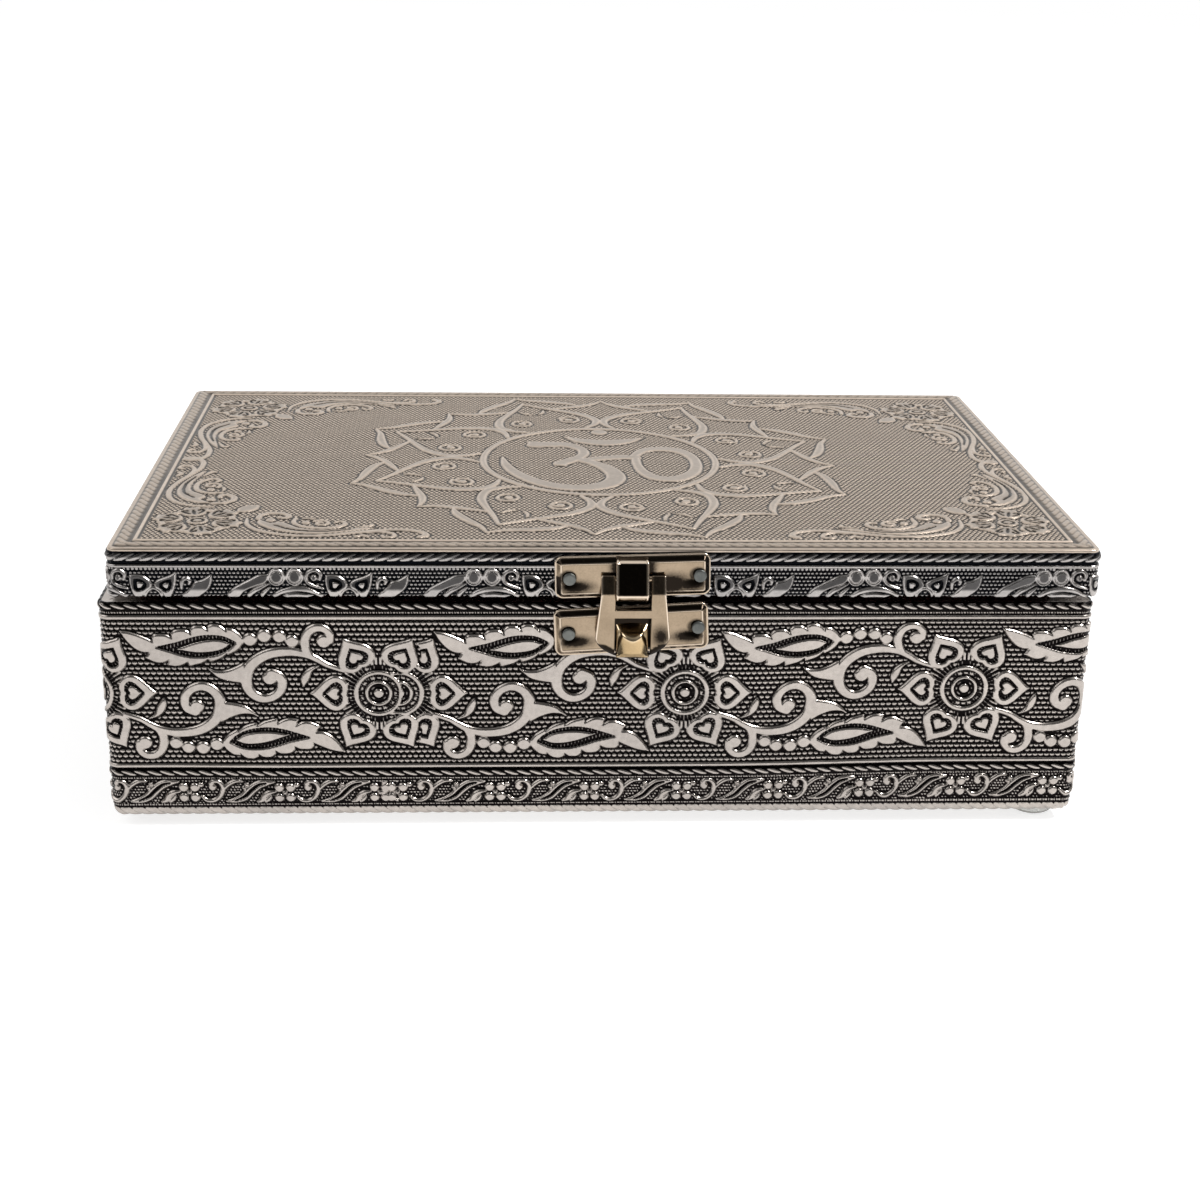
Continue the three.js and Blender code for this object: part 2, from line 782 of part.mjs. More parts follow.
function drillLeaf(leaf, rise) {
  const places = [-1, 1].map((end) => ({ x: (end * hinge.nailSpan) / 2, z: rise }));
  return drill(leaf, places);
}

// The pin lies along X, with a flat rivet head at each end
function makePin() {
  const { width, pinRadius, pinHead, pinHeadHeight } = hinge;
  const half = width / 2 + seatGap;
  const pin = turned(
    [
      [0, -half - pinHeadHeight],
      [pinHead - pinHeadHeight, -half - pinHeadHeight],
      [pinHead, -half],
      [pinRadius, -half],
      [pinRadius, half],
      [pinHead, half],
      [pinHead - pinHeadHeight, half + pinHeadHeight],
      [0, half + pinHeadHeight],
    ],
    steps.nail,
  );
  pin.rotateY(Math.PI / 2);
  return pin;
}

function makeHinges(baseGroup, lidGroup) {
  const knuckles = hingeKnuckles();
  const y = base.depth / 2 + hardwareSeat;
  const baseLeaf = drillLeaf(makeLeaf(hinge.baseLeaf, -1, knuckles.base), -hinge.nailDrop);
  const lidLeaf = drillLeaf(makeLeaf(hinge.lidLeaf, 1, knuckles.lid), hinge.nailRise);
  for (const { name, x } of hingeSides) {
    const parts = [
      [baseGroup, mesh(`hinge_base_leaf_${name}`, surface(baseLeaf), finish.latch), 0, hingeRise],
      [baseGroup, mesh(`hinge_pin_${name}`, surface(solid(makePin())), finish.nail), 0, hingeRise],
      [lidGroup, mesh(`hinge_lid_leaf_${name}`, surface(lidLeaf), finish.latch), lid.shift, hingeRise - lidBottom],
    ];
    for (const [group, piece, shift, z] of parts) {
      piece.position.set(x - shift, y + hingeOut, z);
      piece.rotation.z = Math.PI;
      group.add(piece);
    }
  }
  for (const { name, x } of hingeNails) {
    const rows = [
      [baseGroup, 'base', x, hingeRise - hinge.nailDrop],
      [lidGroup, 'lid', x - lid.shift, hingeRise - lidBottom + hinge.nailRise],
    ];
    for (const [group, owner, place, z] of rows) {
      const piece = mesh(`hinge_nail_${owner}_${name}`, surface(solid(makeNail())), finish.nail);
      piece.position.set(place, y + seatGap + hinge.thickness + seatGap, z);
      piece.rotation.z = Math.PI;
      group.add(piece);
    }
  }
}

// Assembly
const baseGroup = makeBase();
const lidGroup = makeLid();
makeHinges(baseGroup, lidGroup);

const latchSeat = -base.depth / 2 - hardwareSeat;
const lowerLatch = makeLowerLatch();
lowerLatch.position.set(latch.shift, latchSeat, base.height);
baseGroup.add(lowerLatch);

const upperLatch = makeUpperLatch();
upperLatch.position.set(latch.shift - lid.shift, latchSeat, -lid.gap);
lidGroup.add(upperLatch);

const haspGroup = new THREE.Group();
haspGroup.add(mesh('latch_hasp', surface(makeHasp()), finish.latch));
haspGroup.position.set(latch.shift - lid.shift, latchSeat - pivot.out, pivot.rise - lid.gap);
lidGroup.add(haspGroup);

lidGroup.position.set(lid.shift, 0, lidBottom);
baseGroup.add(lidGroup);

const silverBox = new THREE.Group();
silverBox.add(baseGroup);
baseGroup.position.z = foot.height;

export default silverBox;
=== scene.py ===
import math
from functools import reduce

import bpy
import numpy as np
from mathutils import Matrix, Vector


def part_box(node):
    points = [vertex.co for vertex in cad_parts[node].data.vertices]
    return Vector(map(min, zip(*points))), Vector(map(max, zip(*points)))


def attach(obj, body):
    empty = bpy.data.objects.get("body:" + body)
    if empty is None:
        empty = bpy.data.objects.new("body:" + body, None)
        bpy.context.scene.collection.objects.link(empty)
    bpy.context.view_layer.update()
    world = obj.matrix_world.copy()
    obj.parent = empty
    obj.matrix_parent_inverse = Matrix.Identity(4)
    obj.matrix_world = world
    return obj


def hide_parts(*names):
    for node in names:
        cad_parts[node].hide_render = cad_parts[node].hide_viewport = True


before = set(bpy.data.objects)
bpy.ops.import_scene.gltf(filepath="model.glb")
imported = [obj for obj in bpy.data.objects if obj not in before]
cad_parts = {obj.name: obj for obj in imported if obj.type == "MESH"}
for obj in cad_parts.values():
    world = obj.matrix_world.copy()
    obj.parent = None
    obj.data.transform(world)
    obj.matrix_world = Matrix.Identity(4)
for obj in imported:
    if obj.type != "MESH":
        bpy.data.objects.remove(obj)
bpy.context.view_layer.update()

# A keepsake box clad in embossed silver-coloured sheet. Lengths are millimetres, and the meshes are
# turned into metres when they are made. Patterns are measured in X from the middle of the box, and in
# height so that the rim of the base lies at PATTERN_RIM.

MM = 0.001


def corners(node):
    """Lowest and highest corner of a CAD node."""
    low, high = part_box(node)
    return np.array(low) / MM, np.array(high) / MM


# Sheets: how far the CAD's relief stands out, their corners, and how far they turn under
RELIEF = 0.6
CORNER = 2.0
ROLL = 3.0
PATTERN_RIM = 46.4
RIM_DEPTH = 6.66
LIP_DEPTH = 19.0
LID_LIP_DEPTH = 9.66
LID_SIDE_TOP = 0.62
SKIRT = 0.66

# Sizes read from the frame
base_left = corners("base_cladding_left")[0][0] + RELIEF
base_right = corners("base_cladding_right")[1][0] - RELIEF
front_low, front_high = corners("base_cladding_front")
base_low, base_rim = front_low[2], front_high[2]
half_depth = -front_low[1] - RELIEF
half_width = (base_right - base_left) / 2
lid_left = corners("lid_cladding_left")[0][0] + RELIEF
lid_right = corners("lid_cladding_right")[1][0] - RELIEF
lid_middle = (lid_left + lid_right) / 2
lid_half_width = (lid_right - lid_left) / 2
lid_low = corners("lid_cladding_front")[0][2]
lid_high = corners("lid_top_cladding")[1][2] - RELIEF
lid_height = lid_high - lid_low
base_height = base_rim - base_low
pattern_foot = PATTERN_RIM - base_height

# Stamping: heights over the sheet's ground
PLATEAU = 0.55
ISLAND = 0.48
FLOOR = 0.06
HATCH = 0.2
BEAD = 0.3
BEVEL = 0.46
MOAT = 0.6
FAR = 9.0

# Borders of the base's wall
RIM_ROPE = (44.85, 46.4)
RIM_DOTS = 44.35
UPPER_LINE = (42.85, 43.75)
LOWER_LINE = (10.55, 11.4)
MID_ROPE = (8.6, 10.2)
VINE_DOTS = (8.15, 2.2)
BOTTOM_ROPE = (-1.9, 1.75)
ROPE_PITCH = 2.6
DOT_PITCH = 0.58
DOT_RADIUS = 0.26
LINE_HEIGHT = 0.42
ROPE_HEIGHT = 0.56
DOT_HEIGHT = 0.22

# Frieze of the base
FRIEZE_PERIOD = 57.7
FLOWER = (17.4, 27.1)
TURN_ABOUT = (46.25, 27.25)
SECOND_STRIKE = 5.2
SEAM = -43.2
SEAM_LAP = 1.6
FRONT_END = 101
LEFT_FLOWER = -45.5
HEART_OUT = 9.8
GROUND_PITCH = (1.2, 1.07)
GROUND_BEAD = (0.56, 0.42)
GROUND_FOOT = 12.1
LEAF_HATCH = 0.66


# Curves

def smooth(points, steps=7):
    """Points along a Catmull-Rom curve through the given rows. A row may hold a width as well."""
    rows = np.array(points, float)
    ends = np.vstack([2 * rows[0] - rows[1], rows, 2 * rows[-1] - rows[-2]])
    share = (np.arange(steps) / steps)[:, None]
    parts = []
    for a, b, c, d in zip(ends, ends[1:], ends[2:], ends[3:]):
        curve = 2 * b + (c - a) * share + (2 * a - 5 * b + 4 * c - d) * share**2
        parts.append(0.5 * (curve + (3 * b - a - 3 * c + d) * share**3))
    return np.vstack([*parts, rows[-1:]])


def ease(value):
    """A smooth step between 0 and 1."""
    clipped = np.clip(value, 0, 1)
    return clipped * clipped * (3 - 2 * clipped)


def most(*values):
    """The greatest of several arrays, place by place."""
    return reduce(np.maximum, values)


def quarter_round(share):
    """A quarter of a circle that rises from 0 to 1."""
    return np.sqrt(np.clip(1 - (1 - np.clip(share, 0, 1)) ** 2, 0, 1))


def rounding(inset, radius):
    """How far a rounded edge falls below its face."""
    return radius - np.sqrt(np.clip(radius**2 - np.clip(radius - inset, 0, radius) ** 2, 0, None))


def edge(distance, width=BEVEL):
    """1 inside a form, 0 outside, with a bevel of the given width along its edge."""
    return ease(0.5 + distance / width)


def mirrored(points):
    """The same points on the other side of their axis."""
    return [(along, -across) for along, across in reversed(points)]


def square(centre, reach):
    """Lowest and highest corner of a square round a centre."""
    return (centre[0] - reach, centre[1] - reach), (centre[0] + reach, centre[1] + reach)


def polar(centre, away, angle):
    """The place that lies so far from a centre in a direction."""
    return centre[0] + away * math.cos(angle), centre[1] + away * math.sin(angle)


def turned_about(centre, angle):
    """A placer of rows that start with a distance along and one across a direction from a centre."""
    cos, sin = math.cos(angle), math.sin(angle)
    x0, z0 = centre

    def place(rows):
        return [(x0 + a * cos - b * sin, z0 + a * sin + b * cos, *rest) for a, b, *rest in rows]

    return place


def from_run(x, z, start, end, run):
    """Where along a straight run the nearest points of places lie, and how far off they are. Run is
    the square of its length."""
    across, up = end[0] - start[0], end[1] - start[1]
    share = np.clip(((x - start[0]) * across + (z - start[1]) * up) / run, 0, 1)
    return share, np.hypot(x - start[0] - share * across, z - start[1] - share * up)


class Die:
    """Signed distances of the forms that are pressed into a sheet, over a rectangle. Where it has a
    period, it joins up with itself along its length."""

    LAYERS = ("raised", "sunk", "island", "hatch")

    def __init__(self, low, high, pitch, period=None):
        self.low = np.array(low, float)
        self.pitch = pitch
        self.period = period
        counts = np.ceil((np.array(high) - self.low) / pitch).astype(int) + 1
        across = self.low[0] + pitch * np.arange(counts[0])
        up = self.low[1] + pitch * np.arange(counts[1])
        self.across, self.up = np.meshgrid(across, up)
        self.layers = {name: np.full(self.across.shape, -FAR) for name in self.LAYERS}
        self.layers["hatch"][:] = 0

    def windows(self, low, high):
        """The parts of the die that a box of places reaches, with the shift that takes them there."""
        shifts = [0.0]
        if self.period:
            shifts = [self.period * turn for turn in (-2, -1, 0, 1, 2)]
        rows, columns = self.across.shape
        for shift in shifts:
            first = np.floor((np.array(low) - (shift, 0) - self.low) / self.pitch).astype(int)
            last = np.ceil((np.array(high) - (shift, 0) - self.low) / self.pitch).astype(int) + 1
            first = np.maximum(first, 0)
            last = np.minimum(last, (columns, rows))
            if (last > first).all():
                place = (slice(first[1], last[1]), slice(first[0], last[0]))
                yield place, self.across[place] + shift, self.up[place]

    def merge(self, layer, place, distance):
        held = self.layers[layer]
        held[place] = np.maximum(held[place], distance)

    def stroke(self, points, layer="raised", steps=7):
        """A tapered stroke through rows of x, height and width."""
        path = smooth(points, steps)
        for start, end in zip(path, path[1:]):
            reach = max(start[2], end[2]) / 2 + 1
            low, high = np.minimum(start, end)[:2] - reach, np.maximum(start, end)[:2] + reach
            run = (end[0] - start[0]) ** 2 + (end[1] - start[1]) ** 2 + 1e-9
            for place, x, z in self.windows(low, high):
                share, away = from_run(x, z, start, end, run)
                self.merge(layer, place, (start[2] + share * (end[2] - start[2])) / 2 - away)

    def dot(self, centre, radius, layer="raised"):
        self.ring(centre, -FAR, radius, layer)

    def ring(self, centre, inner, outer, layer="raised"):
        for place, x, z in self.windows(*square(centre, outer + 1)):
            away = np.hypot(x - centre[0], z - centre[1])
            self.merge(layer, place, np.minimum(away - inner, outer - away))

    def outline(self, *runs, layer="raised"):
        """A closed form. Each run is a smooth stretch of its outline, and runs meet at corners."""
        path = np.vstack([smooth(run, 6) for run in runs])
        path = np.vstack([path, path[:1]])
        for place, x, z in self.windows(path.min(0) - 1, path.max(0) + 1):
            nearest = np.full(x.shape, FAR)
            inside = np.zeros(x.shape, bool)
            for start, end in zip(path, path[1:]):
                run = (end[0] - start[0]) ** 2 + (end[1] - start[1]) ** 2
                if run < 1e-9:
                    continue
                nearest = np.minimum(nearest, from_run(x, z, start, end, run)[1])
                if start[1] != end[1]:
                    level = (start[1] > z) != (end[1] > z)
                    slope = (end[0] - start[0]) * (z - start[1]) / (end[1] - start[1])
                    inside ^= level & (x < slope + start[0])
            self.merge(layer, place, np.where(inside, nearest, -nearest))

    def hatched(self, low, high, pattern):
        """Fine ribs for the sunk places in a box: pattern takes x and height and gives 0 to 1."""
        for place, x, z in self.windows(low, high):
            self.merge("hatch", place, pattern(x, z))

    def press(self, beads=0.0):
        """Heights and polish over the die. Beads are 0 to 1 and fill the ground."""
        raised = self.layers["raised"]
        sunk = self.layers["sunk"]
        island = self.layers["island"]
        clear = ease((-raised - 0.1) / MOAT)
        height = BEAD * beads * clear
        polish = ease((beads - 0.22) / 0.3) * clear
        top = edge(raised)
        height = height * (1 - top) + PLATEAU * top
        polish = np.maximum(polish * (1 - top), ease(0.75 + raised / 0.3))
        hole = edge(sunk, 0.36)
        ribs = self.layers["hatch"] * ease((-island - 0.12) / 0.25)
        height = height * (1 - hole) + (FLOOR + HATCH * ribs) * hole
        polish = polish * (1 - ease(0.75 + sunk / 0.3)) + 0.62 * ribs * hole
        up = edge(island, 0.36)
        height = height * (1 - up) + ISLAND * up
        polish = np.maximum(polish * (1 - up), ease(0.5 + island / 0.3))
        self.height = height
        self.polish = np.clip(polish, 0, 1)

    def sample(self, x, z, *layers):
        """Height and polish at any places, and the distances of some layers there."""
        if self.period:
            x = self.low[0] + np.mod(x - self.low[0], self.period)
        rows, columns = self.across.shape
        column = np.clip((x - self.low[0]) / self.pitch, 0, columns - 1.001)
        row = np.clip((z - self.low[1]) / self.pitch, 0, rows - 1.001)
        c0 = column.astype(int)
        r0 = row.astype(int)
        c = column - c0
        r = row - r0
        for held in (self.height, self.polish, *(self.layers[name] for name in layers)):
            lower = held[r0, c0] * (1 - c) + held[r0, c0 + 1] * c
            upper = held[r0 + 1, c0] * (1 - c) + held[r0 + 1, c0 + 1] * c
            yield lower * (1 - r) + upper * r


class Pen:
    """Draws on a die in a motif's own frame, which place turns into the die's."""

    def __init__(self, die, place=list):
        self.die = die
        self.place = place

    def stroke(self, *strokes, layer="raised"):
        for rows in strokes:
            self.die.stroke(self.place(rows), layer)

    def outline(self, *runs, layer="raised"):
        self.die.outline(*[self.place(run) for run in runs], layer=layer)

    def dots(self, *rows):
        """Round bosses from rows of x, height and radius."""
        for x, z, radius in rows:
            self.die.dot(self.place([(x, z)])[0], radius)

    def hatched(self, low, high, pattern):
        self.die.hatched(*np.sort(np.array(self.place([low, high])), axis=0), pattern)


def mound(value):
    """A soft hill: 1 at 0 and fading on both sides."""
    return np.exp(-value * value)


def lens_beads(x, z, pitch, half):
    """Staggered rows of lens-shaped beads, 0 between them and 1 on their tops."""
    row = np.round(z / pitch[1])
    across = x / pitch[0] + 0.5 * np.mod(row, 2)
    across = (across - np.round(across)) * pitch[0] / half[0]
    up = (z - row * pitch[1]) / half[1]
    return np.sqrt(np.clip(1 - across**2 - up**2, 0, 1))


def rope(along, across, pitch, slant):
    """A twisted rope: across runs from -1 to 1 over its width. Gives 0 to 1."""
    body = np.sqrt(np.clip(1 - across**2, 0, 1))
    bend = across - 0.35 * across**3
    phase = along / pitch + slant * bend
    strand = np.abs(np.cos(math.pi * phase))
    return body * (0.3 + 0.7 * strand**0.6) * (np.abs(across) < 1)


def rope_in(along, place, band, pitch, slant):
    """A rope that fills a band, 0 to 1, and how far across it each place lies."""
    low, high = band
    across = (place - (low + high) / 2) / ((high - low) / 2)
    return rope(along, across, pitch, slant), across


def line_in(place, band, bevel):
    """A plain raised line that fills a band, 0 to 1."""
    low, high = band
    return edge((high - low) / 2 - np.abs(place - (low + high) / 2), bevel)


def dots(along, across, pitch, radius):
    """One row of small round beads, 0 to 1."""
    place = (along / pitch - np.round(along / pitch)) * pitch
    return np.sqrt(np.clip(1 - (place**2 + across**2) / radius**2, 0, 1))


# The frieze's motifs, as they lie on the front

def heart(die, centre, angle):
    """One of the flower's heart-shaped petals, with its groove and its inner heart."""
    outer = [(6.5, 0), (6.2, 1.1), (6.6, 2.6), (7.7, 3.6), (9.1, 3.75), (10.5, 3.0), (11.8, 1.7)]
    outer += [(12.8, 0.7), (13.7, 0)]
    groove = [(7.7, 0), (7.3, 0.8), (7.5, 1.8), (8.3, 2.45), (9.3, 2.1), (10.3, 1.1), (11.3, 0)]
    inner = [(8.4, 0), (8.0, 0.55), (8.2, 1.2), (8.8, 1.45), (9.5, 1.1), (10.1, 0.5), (10.6, 0)]
    pen = Pen(die, turned_about(centre, angle))
    for half, layer in ((outer, "raised"), (groove, "sunk"), (inner, "island")):
        pen.outline(half, mirrored(half), layer=layer)


def flower(die, centre):
    """Six hearts round a ringed boss, with fine spokes between them."""
    for petal in range(6):
        heart(die, centre, petal * math.pi / 3)
        between = (petal + 0.5) * math.pi / 3
        for spoke in (-0.2, -0.07, 0.07, 0.2):
            inner = polar(centre, 5.5, between + spoke * 1.1)
            outer = polar(centre, 7.9, between + spoke * 0.8)
            die.stroke([(*inner, 0.3), (*outer, 0.2)], steps=2)
    die.ring(centre, 4.05, 5.05)
    die.ring(centre, 2.05, 2.8)
    die.dot(centre, 1.05)
    for inner, outer in ((2.8, 4.05), (1.05, 2.05), (5.05, 6.2)):
        die.ring(centre, inner, outer, layer="sunk")

    def ribs(middle, inner, outer, count):
        """Fine ribs that point away from a middle, between two distances from it."""

        def pattern(x, z):
            away = np.hypot(x - middle[0], z - middle[1])
            turn = np.arctan2(z - middle[1], x - middle[0])
            return (away < outer) * (away > inner) * np.clip(np.cos(count * turn), 0, 1)

        return pattern

    teeth = ribs(centre, 2.9, 6.3, 44)
    die.hatched(*square(centre, 6.4), lambda x, z: teeth(x, z) ** 2)
    for petal in range(6):
        middle = polar(centre, 9.0, petal * math.pi / 3)
        die.hatched(*square(middle, 3.2), ribs(middle, -1, 3.2, 22))


def frieze_stem(pen):
    """Stem with its scrolls, berries and bud."""
    stem = [(24.4, 22.4, 0.9), (27.5, 21.25, 1.0), (29.5, 20, 1.2), (31.5, 19, 1.4), (34, 18.4, 1.7)]
    stem += [(36.5, 18.4, 1.9), (39, 18.9, 2.0), (41.2, 20.1, 2.1), (42.8, 21.8, 2.1)]
    stem += [(43.5, 23.8, 2.1), (43.4, 25.9, 2.0), (42.3, 27.6, 1.9), (40.5, 28.5, 1.8)]
    stem += [(38.6, 28.2, 1.7), (37.1, 27, 1.7), (36.5, 25.3, 1.7), (37, 23.8, 1.9), (38.5, 23.2, 2.2)]
    curl = [(29.6, 20.2, 0.8), (31.3, 18.6, 1.5), (31.9, 16.5, 1.6), (31.3, 14.5, 1.6)]
    curl += [(29.9, 13.4, 1.6), (28.2, 13.4, 1.5), (27, 14.5, 1.4), (27, 16, 1.5)]
    pen.stroke(stem, curl)
    leaflet = [(43.6, 25.2), (46, 24.9), (48.5, 24.3), (49.9, 23.3), (51, 22)]
    pen.outline(leaflet, [(51, 22), (50, 22.5), (48, 22.6), (46, 22), (43.8, 20.8)])
    bud = [(29.2, 21.4), (30.6, 22.6), (31.3, 24.4), (32.4, 26)]
    pen.outline(bud, [(32.4, 26), (32.7, 24.6), (32.2, 23), (30.9, 21.9), (29.2, 21.4)])
    pen.dots((38.9, 24.1, 1.35), (28.1, 16.1, 1.35), (34.3, 16.1, 1.25), (36.75, 15.1, 1.25))
    pen.dots((39.7, 15.0, 1.3), (42.5, 15.8, 1.3))


def frieze_leaf(pen):
    """The long serrated leaf with its hatched groove."""
    upper = [
        [(43.9, 16.6), (44.8, 17.8), (45.8, 18.5), (46.9, 19.1)],
        [(46.9, 18.5), (48, 19.6), (49.2, 20.2), (50.6, 20.6)],
        [(50.7, 19.9), (52, 20.8), (53.2, 21.2), (54.7, 21.6)],
        [(54.8, 20.6), (56, 21.3), (57.3, 21.6), (58.9, 21.4)],
        [(58.4, 20.1), (59.7, 20.8), (61.2, 20.8), (63.2, 19.9)],
        [(62.3, 18.6), (63.6, 18.6), (65, 18.0), (66.2, 16.9), (67.2, 15.6), (68, 14.1)],
    ]
    lower = [
        [(68, 14.1), (66.4, 14.3), (64.8, 14.8), (63.2, 15.5), (61.6, 16.3)],
        [(61.8, 15.5), (61.3, 14.9), (60.2, 14.8), (59, 14.9), (57.8, 15.5)],
        [(58, 14.7), (57.3, 14.0), (56, 13.8), (55, 13.9), (54, 14.6)],
        [(54.1, 13.7), (53.4, 13.1), (52.4, 13.0), (51.6, 13.1), (50.6, 13.8)],
        [(50.7, 13.1), (49.9, 12.7), (48.9, 12.7), (48, 13.0), (47, 13.9)],
        [(47, 13.4), (45.8, 13.6), (44.7, 14.4), (43.9, 15.5), (43.9, 16.6)],
    ]
    pen.outline(*upper, *lower)
    top = [(45.1, 16.4), (46.5, 17.8), (48.5, 18.9), (51, 19.5), (53.5, 19.6), (56, 19.2)]
    top += [(58.5, 18.4), (61.2, 17.5)]
    bottom = [(61.2, 17.5), (59, 17.0), (57, 16.5), (55, 15.8), (52.5, 15.1), (50, 14.9)]
    bottom += [(47.5, 15.2), (45.1, 16.4)]
    pen.outline(top, bottom, layer="sunk")
    crest = [(46.4, 16.7), (48, 17.9), (50.5, 18.5), (53.5, 18.6), (57, 18)]
    keel = [(57, 18), (55, 17.2), (53, 16.5), (50.5, 16.0), (48.2, 16.0), (46.4, 16.7)]
    pen.outline(crest, keel, layer="island")

    def ribs(x, z):
        return np.clip(np.cos(2 * math.pi * (x - 0.25 * z) / LEAF_HATCH), 0, 1)

    pen.hatched((45, 14.5), (61, 20), ribs)


def half_turned(rows):
    """Rows of the frieze's spray turned to the spray that faces it."""
    return [(2 * TURN_ABOUT[0] - x, 2 * TURN_ABOUT[1] - z, *rest) for x, z, *rest in rows]


def make_frieze():
    """The die of the wide band: two sprays that face each other and one flower in each period."""
    start = FLOWER[0] - FRIEZE_PERIOD / 2
    low, high = (start, LOWER_LINE[1]), (start + FRIEZE_PERIOD, UPPER_LINE[0])
    die = Die(low, high, pitch=0.1, period=FRIEZE_PERIOD)
    for pen in (Pen(die), Pen(die, half_turned)):
        frieze_stem(pen)
        frieze_leaf(pen)
    flower(die, FLOWER)
    die.press()
    return die


# The vine below it

VINE_PERIOD = 20.2
VINE_BLOSSOM = (16.7, 4.95)
VINE_BAND = (2.5, 7.85)
VINE_PITCH = (0.7, 0.62)
VINE_BEAD = (0.28, 0.24)


def make_vine():
    """The narrow band's die: a four-petalled blossom, a scroll, blades and S-shaped leaves."""
    start = VINE_BLOSSOM[0] - 10
    die = Die((start, 2.2), (start + VINE_PERIOD, 8.1), pitch=0.07, period=VINE_PERIOD)
    pen = Pen(die, turned_about(VINE_BLOSSOM, 0))
    pen.dots(*[(across * 1.18, up * 1.12, 0.92) for across in (-1, 1) for up in (-1, 1)])
    pen.dots((0, 0, 0.42), (4.9, 1.15, 0.72), (-8.6, 1.1, 0.4), (-8.0, 1.8, 0.4), (2.5, 1.7, 0.5))
    scroll = [(2.7, -0.9, 0.5), (3.5, -1.7, 0.7), (4.9, -1.85, 0.75), (6.1, -1.2, 0.8)]
    scroll += [(7, 0.1, 0.85), (7.05, 1.4, 0.85), (6.3, 2.4, 0.8), (5.2, 2.55, 0.8), (4.6, 2.0, 0.9)]
    twig = [(7.0, 0.4, 0.5), (8.1, 1.6, 0.75), (9.3, 2.4, 0.75), (10.3, 2.65, 0.7), (11.2, 2.5, 0.3)]
    leaf = [(-12.3, -2.0, 0.3), (-10.3, -1.7, 1.1), (-8.6, -0.9, 1.7), (-7.2, 0.5, 1.9)]
    leaf += [(-5.6, 1.7, 1.7), (-3.9, 2.2, 1.2), (-2.2, 2.4, 0.3)]
    blade = [(-5.8, -2.1, 0.4), (-4.8, -1.6, 1.0), (-4.1, -0.5, 1.0), (-3.1, 0.05, 0.8)]
    blade += [(-2.0, 0.2, 0.3)]
    small = [(-4.1, -2.1, 0.4), (-3.5, -1.5, 0.8), (-3.1, -0.8, 0.4)]
    pen.stroke(scroll, twig, leaf, blade, small)
    vein = [(-10.6, -1.75, 0.2), (-8.6, -0.85, 0.5), (-7.15, 0.55, 0.55), (-5.6, 1.75, 0.5)]
    vein += [(-3.9, 2.25, 0.2)]
    pen.stroke(vein, layer="sunk")
    die.press(0.6 * lens_beads(die.across, die.up, VINE_PITCH, VINE_BEAD))
    return die


# The lid's side band, which its edge cuts off

LID_BAND_PERIOD = 38.3
LID_BAND_LOW = 47.9
LID_BAND_TOP = 53.4


